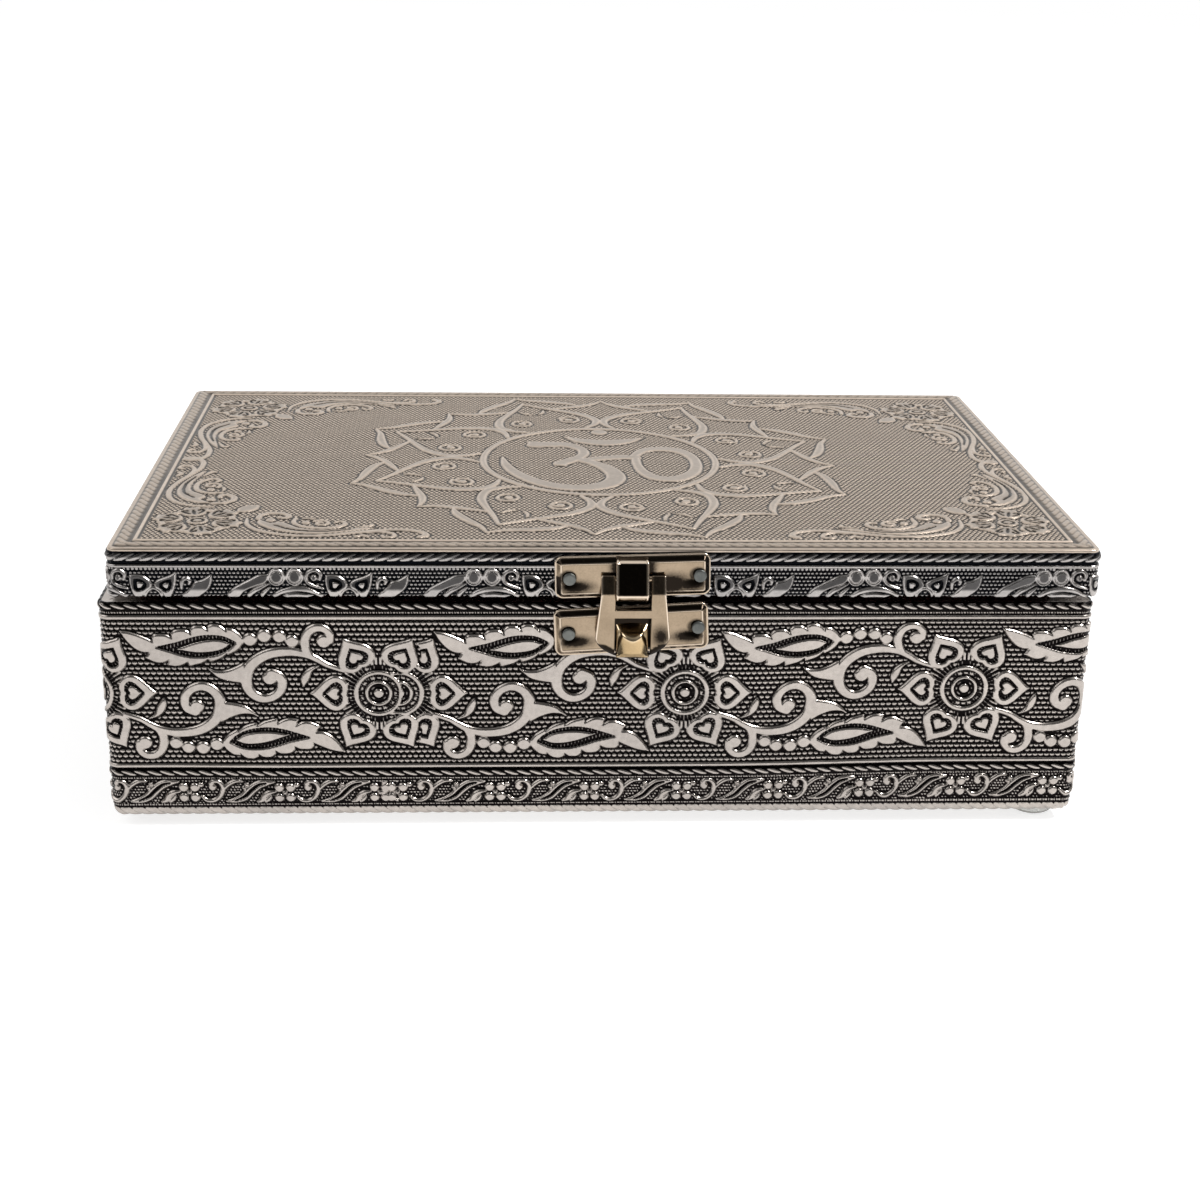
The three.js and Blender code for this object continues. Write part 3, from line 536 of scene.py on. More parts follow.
def make_lid_band():
    """Half flowers, toothed leaves, blades, ringed berries and curls."""
    start = 21.9
    low, high = (start, LID_BAND_LOW - 0.6), (start + LID_BAND_PERIOD, LID_BAND_TOP)
    die = Die(low, high, pitch=0.08, period=LID_BAND_PERIOD)
    pen = Pen(die)
    petal = [(22.2, 52.0), (23.4, 52.1), (24.8, 51.9), (25.9, 51.2), (26.5, 50.3)]
    under = [(26.5, 50.3), (26.2, 49.6), (25.5, 49.1), (24.9, 48.4), (24.4, 47.9), (23.2, 47.9)]
    under += [(22.7, 48.2)]
    pen.outline(petal, under, [(22.7, 48.2), (22.3, 49.6), (22.1, 50.9), (22.2, 52.0)])
    petal = [(31.3, 52.7), (30.2, 52.0), (28.9, 51.5), (27.6, 51.0), (26.8, 50.3)]
    under = [(26.8, 50.3), (27.2, 49.6), (28.0, 49.2), (28.5, 48.5), (28.9, 47.8), (29.9, 47.7)]
    under += [(30.4, 48.3)]
    pen.outline(petal, under, [(30.4, 48.3), (30.9, 49.7), (31.2, 51.2), (31.3, 52.7)])
    groove = [(22.9, 51.2), (23.9, 51.3), (24.9, 50.9), (25.4, 50.2), (24.9, 49.4), (23.9, 49.0)]
    pen.outline(groove, [(23.9, 49.0), (23.2, 49.2), (22.9, 50.1), (22.9, 51.2)], layer="sunk")
    groove = [(30.3, 51.3), (29.3, 51.0), (28.3, 50.5), (27.9, 50.0), (28.3, 49.3), (29.1, 48.9)]
    pen.outline(groove, [(29.1, 48.9), (29.8, 49.2), (30.2, 50.2), (30.3, 51.3)], layer="sunk")
    inner = [(23.5, 50.6), (24.2, 50.7), (24.8, 50.3), (24.3, 49.5)]
    pen.outline(inner, [(24.3, 49.5), (23.6, 49.5), (23.5, 50.6)], layer="island")
    inner = [(29.8, 50.5), (29.1, 50.5), (28.5, 50.1), (28.9, 49.5)]
    pen.outline(inner, [(28.9, 49.5), (29.5, 49.4), (29.8, 50.5)], layer="island")
    leaf = [(31.9, 47.8), (33.4, 49.0), (34.3, 49.9), (34.9, 50.7), (36.4, 51.1), (38.2, 52.2)]
    under = [(38.2, 52.2), (38.1, 50.6), (37.4, 49.2), (36.0, 48.1), (34.2, 47.6), (31.9, 47.8)]
    pen.outline(leaf, under)
    blade = [(40.9, 47.9), (42.2, 49.3), (43.9, 50.3), (45.7, 51.2), (47.3, 52.0), (49.3, 52.2)]
    under = [(49.3, 52.2), (49.2, 51.2), (48.4, 50.4), (46.6, 49.8), (44.6, 48.9), (43.2, 47.7)]
    under += [(40.9, 47.9)]
    pen.outline(blade, under)
    for centre in ((50.85, 51.65), (54.42, 51.7)):
        die.ring(centre, 1.32, 1.72)
        die.dot(centre, 1.2)
    curl = [(60.0, 49.4, 0.4), (58.2, 49.9, 0.6), (56.9, 50.7, 0.7), (56.7, 51.8, 0.7)]
    curl += [(57.3, 52.7, 0.7), (58.6, 53.0, 0.7), (59.5, 52.2, 0.7), (59.3, 51.2, 0.6)]
    pen.stroke(
        [(24.9, 47.7, 0.5), (25.6, 48.9, 0.6), (26.7, 49.5, 0.6), (27.8, 48.9, 0.6), (28.4, 47.7, 0.5)],
        [(32.2, 49.4, 0.5), (32.3, 50.7, 0.7), (33.1, 51.4, 0.8), (33.9, 50.9, 0.6), (33.7, 50.3, 0.5)],
        [(44.9, 47.6, 0.6), (46.3, 48.8, 0.9), (48.0, 49.7, 0.7), (49.2, 50.3, 0.3)],
        [(47.6, 47.7, 0.5), (48.4, 48.6, 0.8), (49.5, 49.6, 0.3)],
        [(49.9, 47.7, 0.5), (51.8, 48.7, 0.9), (54.4, 49.3, 1.0), (57, 49.1, 1.0), (59.8, 47.9, 0.4)],
        [(51.2, 47.5, 0.5), (54.6, 48.1, 0.8), (58, 47.7, 0.5)],
        curl,
    )
    pen.dots((58.2, 51.5, 0.62))
    die.press()
    return die


# The lid's top: a lotus round an Om sign, and a scrolled spray in each corner

LOTUS_CENTRE = (2.1, 0.8)
LOTUS_TURN = math.radians(-3.8)
LOTUS_PETALS = 8
LID_TOP_PITCH = (1.1, 0.95)
LID_TOP_BEAD = (0.47, 0.43)
LID_CORNER = (-97.5, -60.5)
LID_SHIFT = 1.3


def spiral(centre, radius, turns, start, hand, width):
    """Rows of a stroke that winds in from a radius to a small knob."""
    rows = []
    steps = round(turns * 10)
    for step in range(steps + 1):
        share = step / steps
        angle = start + hand * share * turns * 2 * math.pi
        rows.append((*polar(centre, radius * (1 - 0.78 * share), angle), width))
    return rows


def lotus(die):
    """Eight petals with two spirals each, doubled outside and with a pointed leaf between them."""
    whole = turned_about(LOTUS_CENTRE, LOTUS_TURN)
    die.ring(LOTUS_CENTRE, 26.2, 27.7)
    for petal in range(2 * LOTUS_PETALS):
        direction = petal * math.pi / LOTUS_PETALS
        own = turned_about((0, 0), direction)
        pen = Pen(die, lambda rows, own=own: whole(own(rows)))
        for side in (-1, 1):
            wall = [(27.2, 7.6, 0.9), (29.6, 10.8, 1.6), (33.4, 12.6, 2.1), (38.8, 11.2, 2.0)]
            wall += [(43.5, 7.8, 1.6), (48.4, 3.6, 1.2), (53, 0.1, 0.8)]
            outside = [(47.4, 13.6, 0.5), (50.4, 11.2, 1.8), (53.4, 7.2, 2.0), (56, 2.8, 1.3)]
            outside += [(58.8, 0, 0.6)]
            chevron = [(42.6, 0.7, 0.4), (43.8, 2.2, 0.9), (45.9, 3.2, 0.4)]
            tip = [(44.6, 13.4, 0.4), (47, 8.4, 1.5), (49, 4.6, 1.7), (51.4, 1.8, 1.2), (54, 0, 0.5)]
            lines = (wall, outside, chevron) if petal % 2 else (tip,)
            pen.stroke(*[[(r, side * t, w) for r, t, w in line] for line in lines])
            if petal % 2:
                centre = (35.4, side * 6.3)
                rows = []
                for step in range(11):
                    away = 2.65 - 0.07 * step - 1.1 * max(0, step - 8)
                    rows.append((*polar(centre, away, side * (0.75 * step - 0.9)), 0.75))
                pen.stroke(rows)
                pen.dots((centre[0] - 0.1, centre[1], 0.95))


def om_sign(die):
    """The sign in its textbook form: two bowls, a link, a loop, a crescent and a dot."""
    pen = Pen(die)
    upper = [(-12.6, 13.2, 3.8), (-9.0, 13.7, 4.2), (-5, 13.4, 3.6), (-1.9, 10.6, 2.8)]
    upper += [(-0.9, 6.8, 2.6), (-2.2, 3.0, 2.8), (-4.6, 0.2, 3.4), (-7.0, -2.2, 3.2)]
    lower = [(-2.4, 1.4, 2.4), (1.6, -2.4, 3.2), (4.6, -7.6, 4.0), (5.4, -13.2, 4.4), (3.2, -18.2, 4.6)]
    lower += [(-1.6, -20.9, 4.4), (-7.6, -20.2, 4.0), (-13.2, -16.0, 3.6), (-17.4, -9.6, 3.0)]
    lower += [(-19.6, -3.0, 2.2), (-20.3, 3.0, 0.6)]
    link = [(-1.4, 0.6, 2.4), (3.2, 2.2, 3.0), (7.6, 3.1, 3.2), (11.0, 3.0, 2.6)]
    loop = [(10.8, 4.6, 2.2), (13.2, 8.8, 2.8), (17.4, 10.2, 3.4), (21.6, 8.4, 3.2), (23.9, 3.6, 2.8)]
    loop += [(24.4, -2.6, 2.6), (22.9, -9.2, 3.2), (19.0, -13.8, 3.8), (14.6, -13.4, 3.4)]
    loop += [(12.0, -9.0, 2.8), (10.9, -3.0, 2.2), (10.8, 2.0, 2.0)]
    pen.stroke(upper, lower, link, loop)
    for a, b, c, d in (
        ((-14.6, 16.2), (-11.4, 15.9), (-10.6, 11.3), (-13.0, 11.6)),
        ((-6.2, 0.2), (-4.2, 0.2), (-5.6, -4.4), (-8.6, -1.4)),
    ):
        pen.outline([a, b], [b, c], [c, d])
    pen.outline(
        [(-5.6, 21.2), (-2.2, 15.8), (4.0, 13.0), (10.0, 15.0), (14.2, 20.2)],
        [(14.2, 20.2), (9.6, 18.4), (4.4, 17.6), (-1.0, 18.6), (-5.6, 21.2)],
    )
    pen.dots((3.6, 24.6, 2.0))


def corner_arm(pen):
    """One arm of a corner spray, drawn along the front edge."""
    stem = [(-73.2, -44, 0.5), (-72.6, -48.4, 0.9), (-70, -52.2, 1.1), (-66, -54.3, 1.1)]
    stem += [(-61, -54.9, 1.1), (-55, -53.9, 1.1), (-50, -52.2, 1.1), (-45, -50.7, 1.1)]
    stem += [(-40, -50.6, 1.2), (-37, -52, 1.3), (-36.2, -54, 1.5), (-37.4, -55.1, 1.4)]
    comma = [(-70.9, -44.4, 1.2), (-70.6, -42.2, 1.2), (-68.8, -40.6, 1.3), (-66.4, -40.6, 1.4)]
    comma += [(-64.8, -42, 1.3), (-65.3, -43.6, 1.1), (-66.8, -43.4, 1.0)]
    scallop = [(-63.2, -43.4, 0.8), (-63.4, -46.2, 1.0), (-61.6, -48.7, 1.1), (-58, -49.7, 1.1)]
    scallop += [(-54.6, -49, 1.1), (-52.8, -46.8, 1.0), (-53.8, -45, 0.8), (-55, -45.8, 0.7)]
    curl = [(-52, -53.2, 0.4), (-48.6, -52.2, 0.8), (-45.2, -51.9, 0.9), (-42.8, -53, 0.9)]
    curl += [(-42.6, -54.8, 0.9), (-44.2, -55.4, 0.8), (-45, -54.2, 0.8)]
    pen.stroke(
        stem, comma, scallop, spiral((-57.8, -46.4), 2.0, 1.2, 2.4, -1, 0.8), curl,
        [(-61.8, -43.6, 0.4), (-60.2, -43.4, 0.8), (-58.8, -43.9, 0.4)],
        [(-50.2, -54.8, 0.9), (-48.8, -54.2, 1.0), (-47.8, -54.9, 0.8)],
        [(-50.6, -49.2, 0.4), (-48.6, -48.4, 0.8), (-47.2, -47.6, 0.9), (-47.6, -46.9, 0.7)],
    )
    body = [(-70.8, -44.6), (-70.4, -48), (-67.6, -51.2), (-63.4, -53), (-58, -53.2), (-52.4, -51.9)]
    body += [(-48.6, -50.4), (-46.2, -49)]
    back = [(-46.2, -49), (-50, -49.7), (-54, -50.6), (-58.4, -50.9), (-62, -50), (-64.4, -47.8)]
    back += [(-66, -46.6), (-68, -47.4), (-69.4, -46.4), (-70.8, -44.6)]
    pen.outline(body, back)
    pen.stroke([(-67, -49, 0.4), (-63, -51.6, 0.5), (-57, -52, 0.5), (-51.6, -50.7, 0.3)], layer="sunk")
    pen.dots((-68.2, -45.2, 1.0), (-60.9, -46.2, 0.9))


def corner_rosette(die, place):
    """The ragged open blossom on the diagonal of a corner, with curled lobes and beads between them."""
    centre = (-83.0, -46.0)
    half = [(3.3, 0.5), (4.2, 2.0), (5.6, 2.5), (6.2, 3.4), (7.6, 3.0), (8.0, 1.9), (9.3, 1.5)]
    half += [(8.9, 0)]
    for lobe in range(6):
        angle = math.pi / 4 + lobe * math.pi / 3
        Pen(die, place).dots((*polar(centre, 7.1, angle + math.pi / 6), 0.75))
        own = turned_about(centre, angle)
        pen = Pen(die, lambda rows, own=own: place(own(rows)))
        pen.outline(half, mirrored(half))
        pen.stroke([(4.2, 0, 0.3), (6.0, 0, 0.6), (7.4, 0, 0.2)], layer="sunk")
        for side in (-1, 1):
            curl = [(4.6, 0.9, 0.3), (5.6, 1.7, 0.5), (6.9, 2.2, 0.5), (7.3, 1.5, 0.5), (6.6, 1.1, 0.4)]
            pen.stroke([(a, side * b, width) for a, b, width in curl], layer="sunk")
    middle = place([centre])[0]
    die.dot(middle, 2.2)
    for inner, outer in ((2.3, 3.0), (1.0, 1.4)):
        die.ring(middle, inner, outer, layer="sunk")


def corner_bud(pen):
    """The bud on its stem that points to the middle of the lid."""
    pen.stroke([(-78.6, -41.2, 0.6), (-76.4, -40.4, 0.8), (-74.4, -39.0, 0.6)])
    pen.outline(
        [(-75.6, -40.2), (-75.8, -37.6), (-73.9, -35.6), (-71.4, -35.4)],
        [(-71.4, -35.4), (-71.7, -37.8), (-73.2, -39.6), (-75.6, -40.2)],
    )


def corner_spray(die, side, end):
    """A corner's spray: two like arms about its diagonal, a blossom and a bud."""

    def straight(rows):
        return [(LID_SHIFT + side * -(x - LID_SHIFT), end * -y, *rest) for x, y, *rest in rows]

    def crossed(rows):
        x0, y0 = LID_CORNER
        return straight([(x0 + (y - y0), y0 + (x - x0), *rest) for x, y, *rest in rows])

    corner_arm(Pen(die, straight))
    corner_arm(Pen(die, crossed))
    corner_rosette(die, straight)
    corner_bud(Pen(die, straight))


def make_lid_top():
    """The die of the lid's top."""
    die = Die((lid_left, -half_depth), (lid_right, half_depth), pitch=0.15)
    lotus(die)
    om_sign(die)
    for side in (-1, 1):
        for end in (-1, 1):
            corner_spray(die, side, end)
    die.press()
    return die


# Sheets with their relief, as grids of points

def normals_of(points):
    """Normals of a grid of points from its own slopes."""
    across = np.gradient(points, axis=1)
    down = np.gradient(points, axis=0)
    normal = np.cross(down, across)
    length = np.linalg.norm(normal, axis=2, keepdims=True)
    return normal / np.maximum(length, 1e-9)


def linked(name, data):
    """A new object in the scene."""
    made = bpy.data.objects.new(name, data)
    bpy.context.scene.collection.objects.link(made)
    return made


def make_mesh(name, vertices, faces, attributes=None, normals=None):
    """A mesh object from arrays in millimetres. Attributes are one number for each vertex."""
    mesh = bpy.data.meshes.new(name)
    mesh.vertices.add(len(vertices))
    mesh.vertices.foreach_set("co", (np.asarray(vertices) * MM).astype(np.float32).ravel())
    size = faces.shape[1]
    mesh.loops.add(faces.size)
    mesh.loops.foreach_set("vertex_index", faces.astype(np.int32).ravel())
    mesh.polygons.add(len(faces))
    mesh.polygons.foreach_set("loop_start", (np.arange(len(faces)) * size).astype(np.int32))
    mesh.polygons.foreach_set("use_smooth", np.ones(len(faces), bool))
    mesh.update(calc_edges=True)
    mesh.validate()
    for key, values in (attributes or {}).items():
        held = mesh.attributes.new(key, "FLOAT", "POINT")
        held.data.foreach_set("value", np.asarray(values, np.float32).ravel())
    if normals is not None:
        mesh.normals_split_custom_set_from_vertices(normals.reshape(-1, 3).tolist())
    return linked(name, mesh)


def finish_piece(piece, material, body, slot, *nodes):
    """Material, body and replaced nodes of a piece. The slot is not used."""
    piece.data.materials.append(material)
    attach(piece, body)
    if nodes:
        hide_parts(*nodes)


def grid_faces(rows, columns):
    """Quads of a grid whose points are numbered row by row."""
    first = (np.arange(rows - 1)[:, None] * columns + np.arange(columns - 1)[None, :]).ravel()
    return np.stack([first, first + columns, first + columns + 1, first + 1], axis=1)


def grid_piece(name, points, polish, splits, body, node, material, crossed=False):
    """A grid of points as one or more pieces side by side, riding on a body for a CAD node. Where it
    is crossed, its quads split along their two diagonals in turn."""
    normals = normals_of(points)
    columns = points.shape[1]
    cuts = [round(columns * part / splits) for part in range(splits)] + [columns - 1]
    for part in range(splits):
        span = slice(cuts[part], cuts[part + 1] + 1)
        rows, width = points[:, span].shape[:2]
        flat = points[:, span].reshape(-1, 3)
        faces = grid_faces(rows, width)
        if crossed:
            turned = (np.add.outer(np.arange(rows - 1), np.arange(width - 1)) % 2).ravel() == 1
            faces[turned] = np.roll(faces[turned], 1, axis=1)
        a, b, c, d = (flat[faces[:, corner]] for corner in range(4))
        faces = faces[np.linalg.norm(np.cross(c - a, d - b), axis=1) > 1e-5]
        label = name if splits == 1 else f"{name}_{part + 1}"
        piece = make_mesh(label, flat, faces, {"polish": polish[:, span]}, normals[:, span])
        finish_piece(piece, material, body, "embossed_metal", *([node] if part == 0 else []))


def stations(half, pitch):
    """Columns along a side: places from -1 to 1 on its straight, and the bend round each corner."""
    straight = max(2, round(2 * (half - CORNER) / pitch)) + 1
    bend = np.linspace(0, math.pi / 4, 9)[1:]
    shares = np.concatenate([-np.ones(8), np.linspace(-1, 1, straight), np.ones(8)])
    angles = np.concatenate([-bend[::-1], np.zeros(straight), bend])
    return shares, angles


def along_side(half, shares, angles):
    """Distance along a side from its middle, with each corner's bend counted as its full length."""
    return shares * (half - CORNER) + np.sin(angles) / math.sin(math.pi / 4) * CORNER


def bend_profile(half, shares, angles, depth, height):
    """Points of a profile that runs along a side. Depth and height are arrays of rows by columns."""
    bend = np.maximum(CORNER - depth, 0)
    centre = depth + bend
    along = shares * (half - centre) + bend * np.sin(angles)
    return np.stack([along, centre - bend * np.cos(angles), height], axis=2)


def turned_side(points, side):
    """Points made for the front, with its outer face in the plane y = 0, moved to any side."""
    x, y, z = np.moveaxis(points, -1, 0)
    placed = {
        "front": (x, y - half_depth, z),
        "back": (-x, half_depth - y, z),
        "right": (half_width - y, x, z),
        "left": (y - half_width, -x, z),
    }
    return np.stack(placed[side], axis=-1)


def on_lid(points, side):
    """Points made for a side of the base, moved to the lid's own width and middle."""
    points[..., 0] += (lid_half_width - half_width) * {"left": -1, "right": 1}.get(side, 0)
    points[..., 0] += lid_middle
    return points


def run_round(side, along, half_long, half_short):
    """Distance round the box, which is X along the front and goes on round each corner."""
    turn = half_long + half_short
    return along + {"front": 0, "right": turn, "left": -turn, "back": 2 * turn}[side]


def rolled(radius, start, end, count):
    """Steps of a rolled edge: its angle, and its radius times the angle's cosine and sine."""
    for angle in np.linspace(start, end, count):
        yield angle, radius * math.cos(angle), radius * math.sin(angle)


def wall_profile(fine):
    """Rows of the base's cladding from inside the rim to under the box: depth, height, the way out
    in depth and height, and the height that the pattern is read at."""
    rows = []
    edge_radius = 0.45
    shoulder = base_height - edge_radius
    for depth in np.linspace(RIM_DEPTH, edge_radius, 6)[:-1]:
        rows.append((depth, base_height, 0, 1, PATTERN_RIM + depth))
    for angle, a, b in rolled(edge_radius, math.pi / 2, 0, 5):
        way = (-math.cos(angle), math.sin(angle))
        rows.append((edge_radius - a, shoulder + b, *way, PATTERN_RIM - edge_radius + b))
    for height in np.linspace(shoulder, ROLL, round((shoulder - ROLL) / fine))[1:]:
        rows.append((0, height, -1, 0, height + pattern_foot))
    for angle, a, b in list(rolled(ROLL, 0, math.pi / 2, round(ROLL * math.pi / 2 / fine)))[1:]:
        way = (-math.cos(angle), -math.sin(angle))
        rows.append((ROLL - a, ROLL - b, *way, ROLL - ROLL * angle + pattern_foot))
    for depth in np.linspace(ROLL, LIP_DEPTH, 9)[1:]:
        rows.append((depth, 0, 0, -1, -FAR))
    return np.array(rows)


def wall_relief(x, z, frieze, vine):
    """Height and polish of the base's wall at distances round the box and heights."""
    # The front's bands run a little askew
    in_front = np.abs(x) < FRONT_END
    askew = ease((x - 25) / 50) - 0.2 + 0.3 * ease((-60 - x) / 30)
    z = z - 0.8 * askew * ease((44.4 - z) / 6) * ease((z - 1.8) / 2) * in_front
    # Left of the seam the frieze is another strike of the die, and so is the flower on the seam
    struck = x + FRIEZE_PERIOD + SECOND_STRIKE - 0.4 + 0.4 * ease((-48 - x) / 30)
    boss_radius, heart_radius = 5.2, 4.1
    first = (x < SEAM) | (np.hypot(x - LEFT_FLOWER, z - FLOWER[1]) < boss_radius)
    for up in (-1, 1):
        petal = polar((LEFT_FLOWER, FLOWER[1]), HEART_OUT, up * math.pi / 3)
        first |= np.hypot(x - petal[0], z - petal[1]) < heart_radius
    stretch = 0.25 + 0.4 * ease((10 - x) / 50)
    place = np.where(first, struck, x + stretch * in_front)
    height, polish, raised = frieze.sample(place, z, "raised")
    beads = lens_beads(x, z - GROUND_FOOT, GROUND_PITCH, GROUND_BEAD)
    clear = ease((-raised - 0.12) / MOAT)
    inside = (z > LOWER_LINE[1]) & (z < UPPER_LINE[0])
    height = np.where(clear > 0, np.maximum(height, BEAD * beads * clear), height) * inside
    polish = np.maximum(polish, ease((beads - 0.3) / 0.45) * clear) * inside
    # The vine was struck on each side of the seam as well, and both strikes show on the seam
    vined = (z > VINE_BAND[0]) & (z < VINE_BAND[1])
    right_of = x - 2.2 + 5.2 * np.clip((x + 15) / 101, 0, 1)
    left_of = x - 0.4 + 1.8 * (np.clip(x, -FRONT_END, 0) + 92) / 48
    for strike, struck_here in ((right_of, x > SEAM - SEAM_LAP), (left_of, x < SEAM + SEAM_LAP)):
        here = vined & struck_here
        fresh = here & (np.abs(x - SEAM) > SEAM_LAP)
        seen, shine = vine.sample(strike, z)
        height = np.where(fresh, seen, np.where(here, np.maximum(height, seen), height))
        polish = np.where(fresh, shine, np.where(here, np.maximum(polish, shine), polish))
    # Lines, ropes and rows of dots between the bands
    for band in (UPPER_LINE, LOWER_LINE):
        line = line_in(z, band, 0.3)
        height, polish = np.maximum((height, polish), (LINE_HEIGHT * line, line))
    ropes = ((RIM_ROPE, 0.62, 0.6), (MID_ROPE, 0.62, 0.56), (BOTTOM_ROPE, 0.75, 0.15))
    for band, slant, bare in ropes:
        twist, _ = rope_in(x, z, band, ROPE_PITCH, slant)
        lit = ease((twist - bare) / 0.35)
        height, polish = np.maximum((height, polish), (ROPE_HEIGHT * twist, lit))
    for middle in (RIM_DOTS, *VINE_DOTS):
        small = dots(x, z - middle, DOT_PITCH, DOT_RADIUS)
        lit = 0.8 * ease(small * 1.4 - 0.3)
        height, polish = np.maximum((height, polish), (DOT_HEIGHT * small, lit))
    above = z > PATTERN_RIM - 0.02
    return np.where(above, 0, height), np.where(above | (z < BOTTOM_ROPE[0]), 0.85, polish)


def dents(x, z):
    """Slow unevenness of hand-clad sheet."""
    wave = 0.5 * np.sin(x / 13.1 + 1.3 * np.sin(z / 9.2)) + 0.3 * np.sin(z / 7.7 + x / 23.0)
    return 0.035 * wave


def pressed_side(side, half, lines, profile, height):
    """Points of a side's sheet, whose relief stands out of its profile by so much."""
    depth = profile[:, 0:1] + height * profile[:, 2:3]
    rise = profile[:, 1:2] + height * profile[:, 3:4]
    return turned_side(bend_profile(half, *lines, depth, rise), side)


def clad_base(side, frieze, vine, pitch, splits, material):
    """The embossed sheet on one side of the base."""
    half = half_width if side in ("front", "back") else half_depth
    lines = stations(half, pitch[0])
    profile = wall_profile(pitch[1])
    round_box = run_round(side, along_side(half, *lines), half_width, half_depth)
    x = np.broadcast_to(round_box, (len(profile), len(round_box)))
    z = np.broadcast_to(profile[:, 4:5], x.shape)
    height, polish = wall_relief(x, z, frieze, vine)
    seam = 2 * half_width + 2 * half_depth + half_width
    near_seam = np.minimum(np.abs(x - seam), np.abs(x + half_width + 2 * half_depth))
    height = height * ease(near_seam / 0.6) + dents(x, z) * ease((near_seam - 1) / 6) * (z > ROLL)
    points = pressed_side(side, half, lines, profile, height)
    points[..., 2] += base_low
    node = f"base_cladding_{side}"
    grid_piece(f"embossed_{side}", points, polish, splits, "base", node, material)


def lid_profile(fine):
    """Rows of the lid's side cladding, as for the base."""
    radius = 0.5
    wall_top = lid_height - LID_SIDE_TOP
    rows = [(radius, wall_top - 0.1, 0, 0, LID_BAND_LOW + wall_top)]
    for height in np.linspace(wall_top, radius, round((wall_top - radius) / fine)):
        rows.append((0, height, -1, 0, LID_BAND_LOW + height))
    for angle, a, b in list(rolled(radius, 0, math.pi / 2, 5))[1:]:
        way = (-math.cos(angle), -math.sin(angle))
        rows.append((radius - a, radius - b, *way, LID_BAND_LOW + radius - b))
    for depth in np.linspace(radius, LID_LIP_DEPTH, 6)[1:]:
        rows.append((depth, 0, 0, -1, -FAR))
    return np.array(rows)


LID_ROPE = (55.0, 57.1)
LID_LINE = (53.78, 54.4)
LID_LINE_HEIGHT = 0.36
LID_DASHES = 54.68
DASH_HEIGHT = 0.14
LID_SIDE_PITCH = (0.84, 0.8)
LID_SIDE_BEAD = (0.37, 0.31)
LID_SIDE_BEAD_HEIGHT = 0.26


def lid_relief(x, z, band):
    """Height and polish of the lid's sides."""
    inside = (z < LID_LINE[0]) & (z > LID_BAND_LOW)
    struck = x + 0.75 * ease((-15 - x) / 45)
    level = LID_BAND_LOW + (z - LID_BAND_LOW) * 0.955
    height, polish, raised, island = band.sample(struck, level, "raised", "island")
    beads = lens_beads(x, z - LID_BAND_LOW, LID_SIDE_PITCH, LID_SIDE_BEAD)
    clear = ease((-raised - 0.05) / 0.35)
    ground = LID_SIDE_BEAD_HEIGHT * beads * clear
    height = np.where(clear > 0, np.maximum(height, ground), height) * inside
    # Above their lower edge the raised forms are darkened as a painted dark reflection, and the drops on
    # them shine in a dark ring
    within = ease((raised + 0.05) / 0.2)
    drop = ease((island + 0.15) / 0.2)
    dull = ease((raised - 0.14) / 0.2) * ease((z - 48.7) / 0.9) * (1 - drop)
    level_tops = 0.45 * within * (1 - ease((island + 0.6) / 0.2) * (1 - drop))
    shine = 0.85 * ease((beads - 0.3) / 0.45) * clear
    polish = most(polish * (1 - 0.55 * dull), level_tops, 0.9 * drop, shine) * inside
    line = line_in(z, LID_LINE, 0.25)
    twist, across = rope_in(x, z, LID_ROPE, pitch=2.55, slant=-0.85)
    # The upper half of each strand is darkened as a painted dark reflection
    lit = ease((twist - 0.4) / 0.22) * (1 - 0.52 * ease((across + 0.3) / 0.35))
    small = dots(x, z - LID_DASHES, pitch=1.2, radius=0.22)
    polish = np.where(z < LID_BAND_LOW + 0.3, 0.9, most(polish, line, lit, 0.4 * small))
    height = most(height, LID_LINE_HEIGHT * line, ROPE_HEIGHT * twist, DASH_HEIGHT * small)
    return height, polish


def clad_lid_side(side, band, pitch, material):
    """The embossed sheet on one side of the lid."""
    half = lid_half_width if side in ("front", "back") else half_depth
    lines = stations(half, pitch[0])
    profile = lid_profile(pitch[1])
    round_lid = run_round(side, along_side(half, *lines), lid_half_width, half_depth)
    x = np.broadcast_to(round_lid + lid_middle, (len(profile), len(round_lid)))
    z = np.broadcast_to(profile[:, 4:5], x.shape)
    height, polish = lid_relief(x, z, band)
    points = on_lid(pressed_side(side, half, lines, profile, height), side)
    points[..., 2] += lid_low
    grid_piece(f"embossed_lid_{side}", points, polish, 1, "lid", f"lid_cladding_{side}", material)


TOP_EDGE = 0.34
TOP_NEAR = (0, 0.03, 0.09, 0.18, 0.34, 0.6)
TOP_ROPE = (1.25, 3.75)
TOP_ROPE_HEIGHT = 0.45
TOP_LINE = (4.5, 5.2)
TOP_SHARE = 0.8


def grid_lines(limit, pitch, near):
    """Places from one edge to the other, with extra ones close to both."""
    near = np.array(near)
    count = max(2, round(2 * (limit - near[-1]) / pitch))
    inner = np.linspace(-limit + near[-1], limit - near[-1], count + 1)
    return np.concatenate([-limit + near[:-1], inner, limit - near[:-1][::-1]])


def rounded(x, y, half, corner):
    """Grid places of a rectangle moved so that its corners are round, and how far in from its edge
    each of them lies."""
    a = np.maximum(np.abs(x) - half[0] + corner, 0)
    b = np.maximum(np.abs(y) - half[1] + corner, 0)
    longest = np.maximum(a, b)
    both = (a > 0) & (b > 0)
    scale = np.where(both, longest / np.maximum(np.hypot(a, b), 1e-9), 1)
    moved_x = np.where(a > 0, np.sign(x) * (half[0] - corner + a * scale), x)
    moved_y = np.where(b > 0, np.sign(y) * (half[1] - corner + b * scale), y)
    inset = np.where(both, corner - longest, np.minimum(half[0] - np.abs(x), half[1] - np.abs(y)))
    return moved_x, moved_y, inset


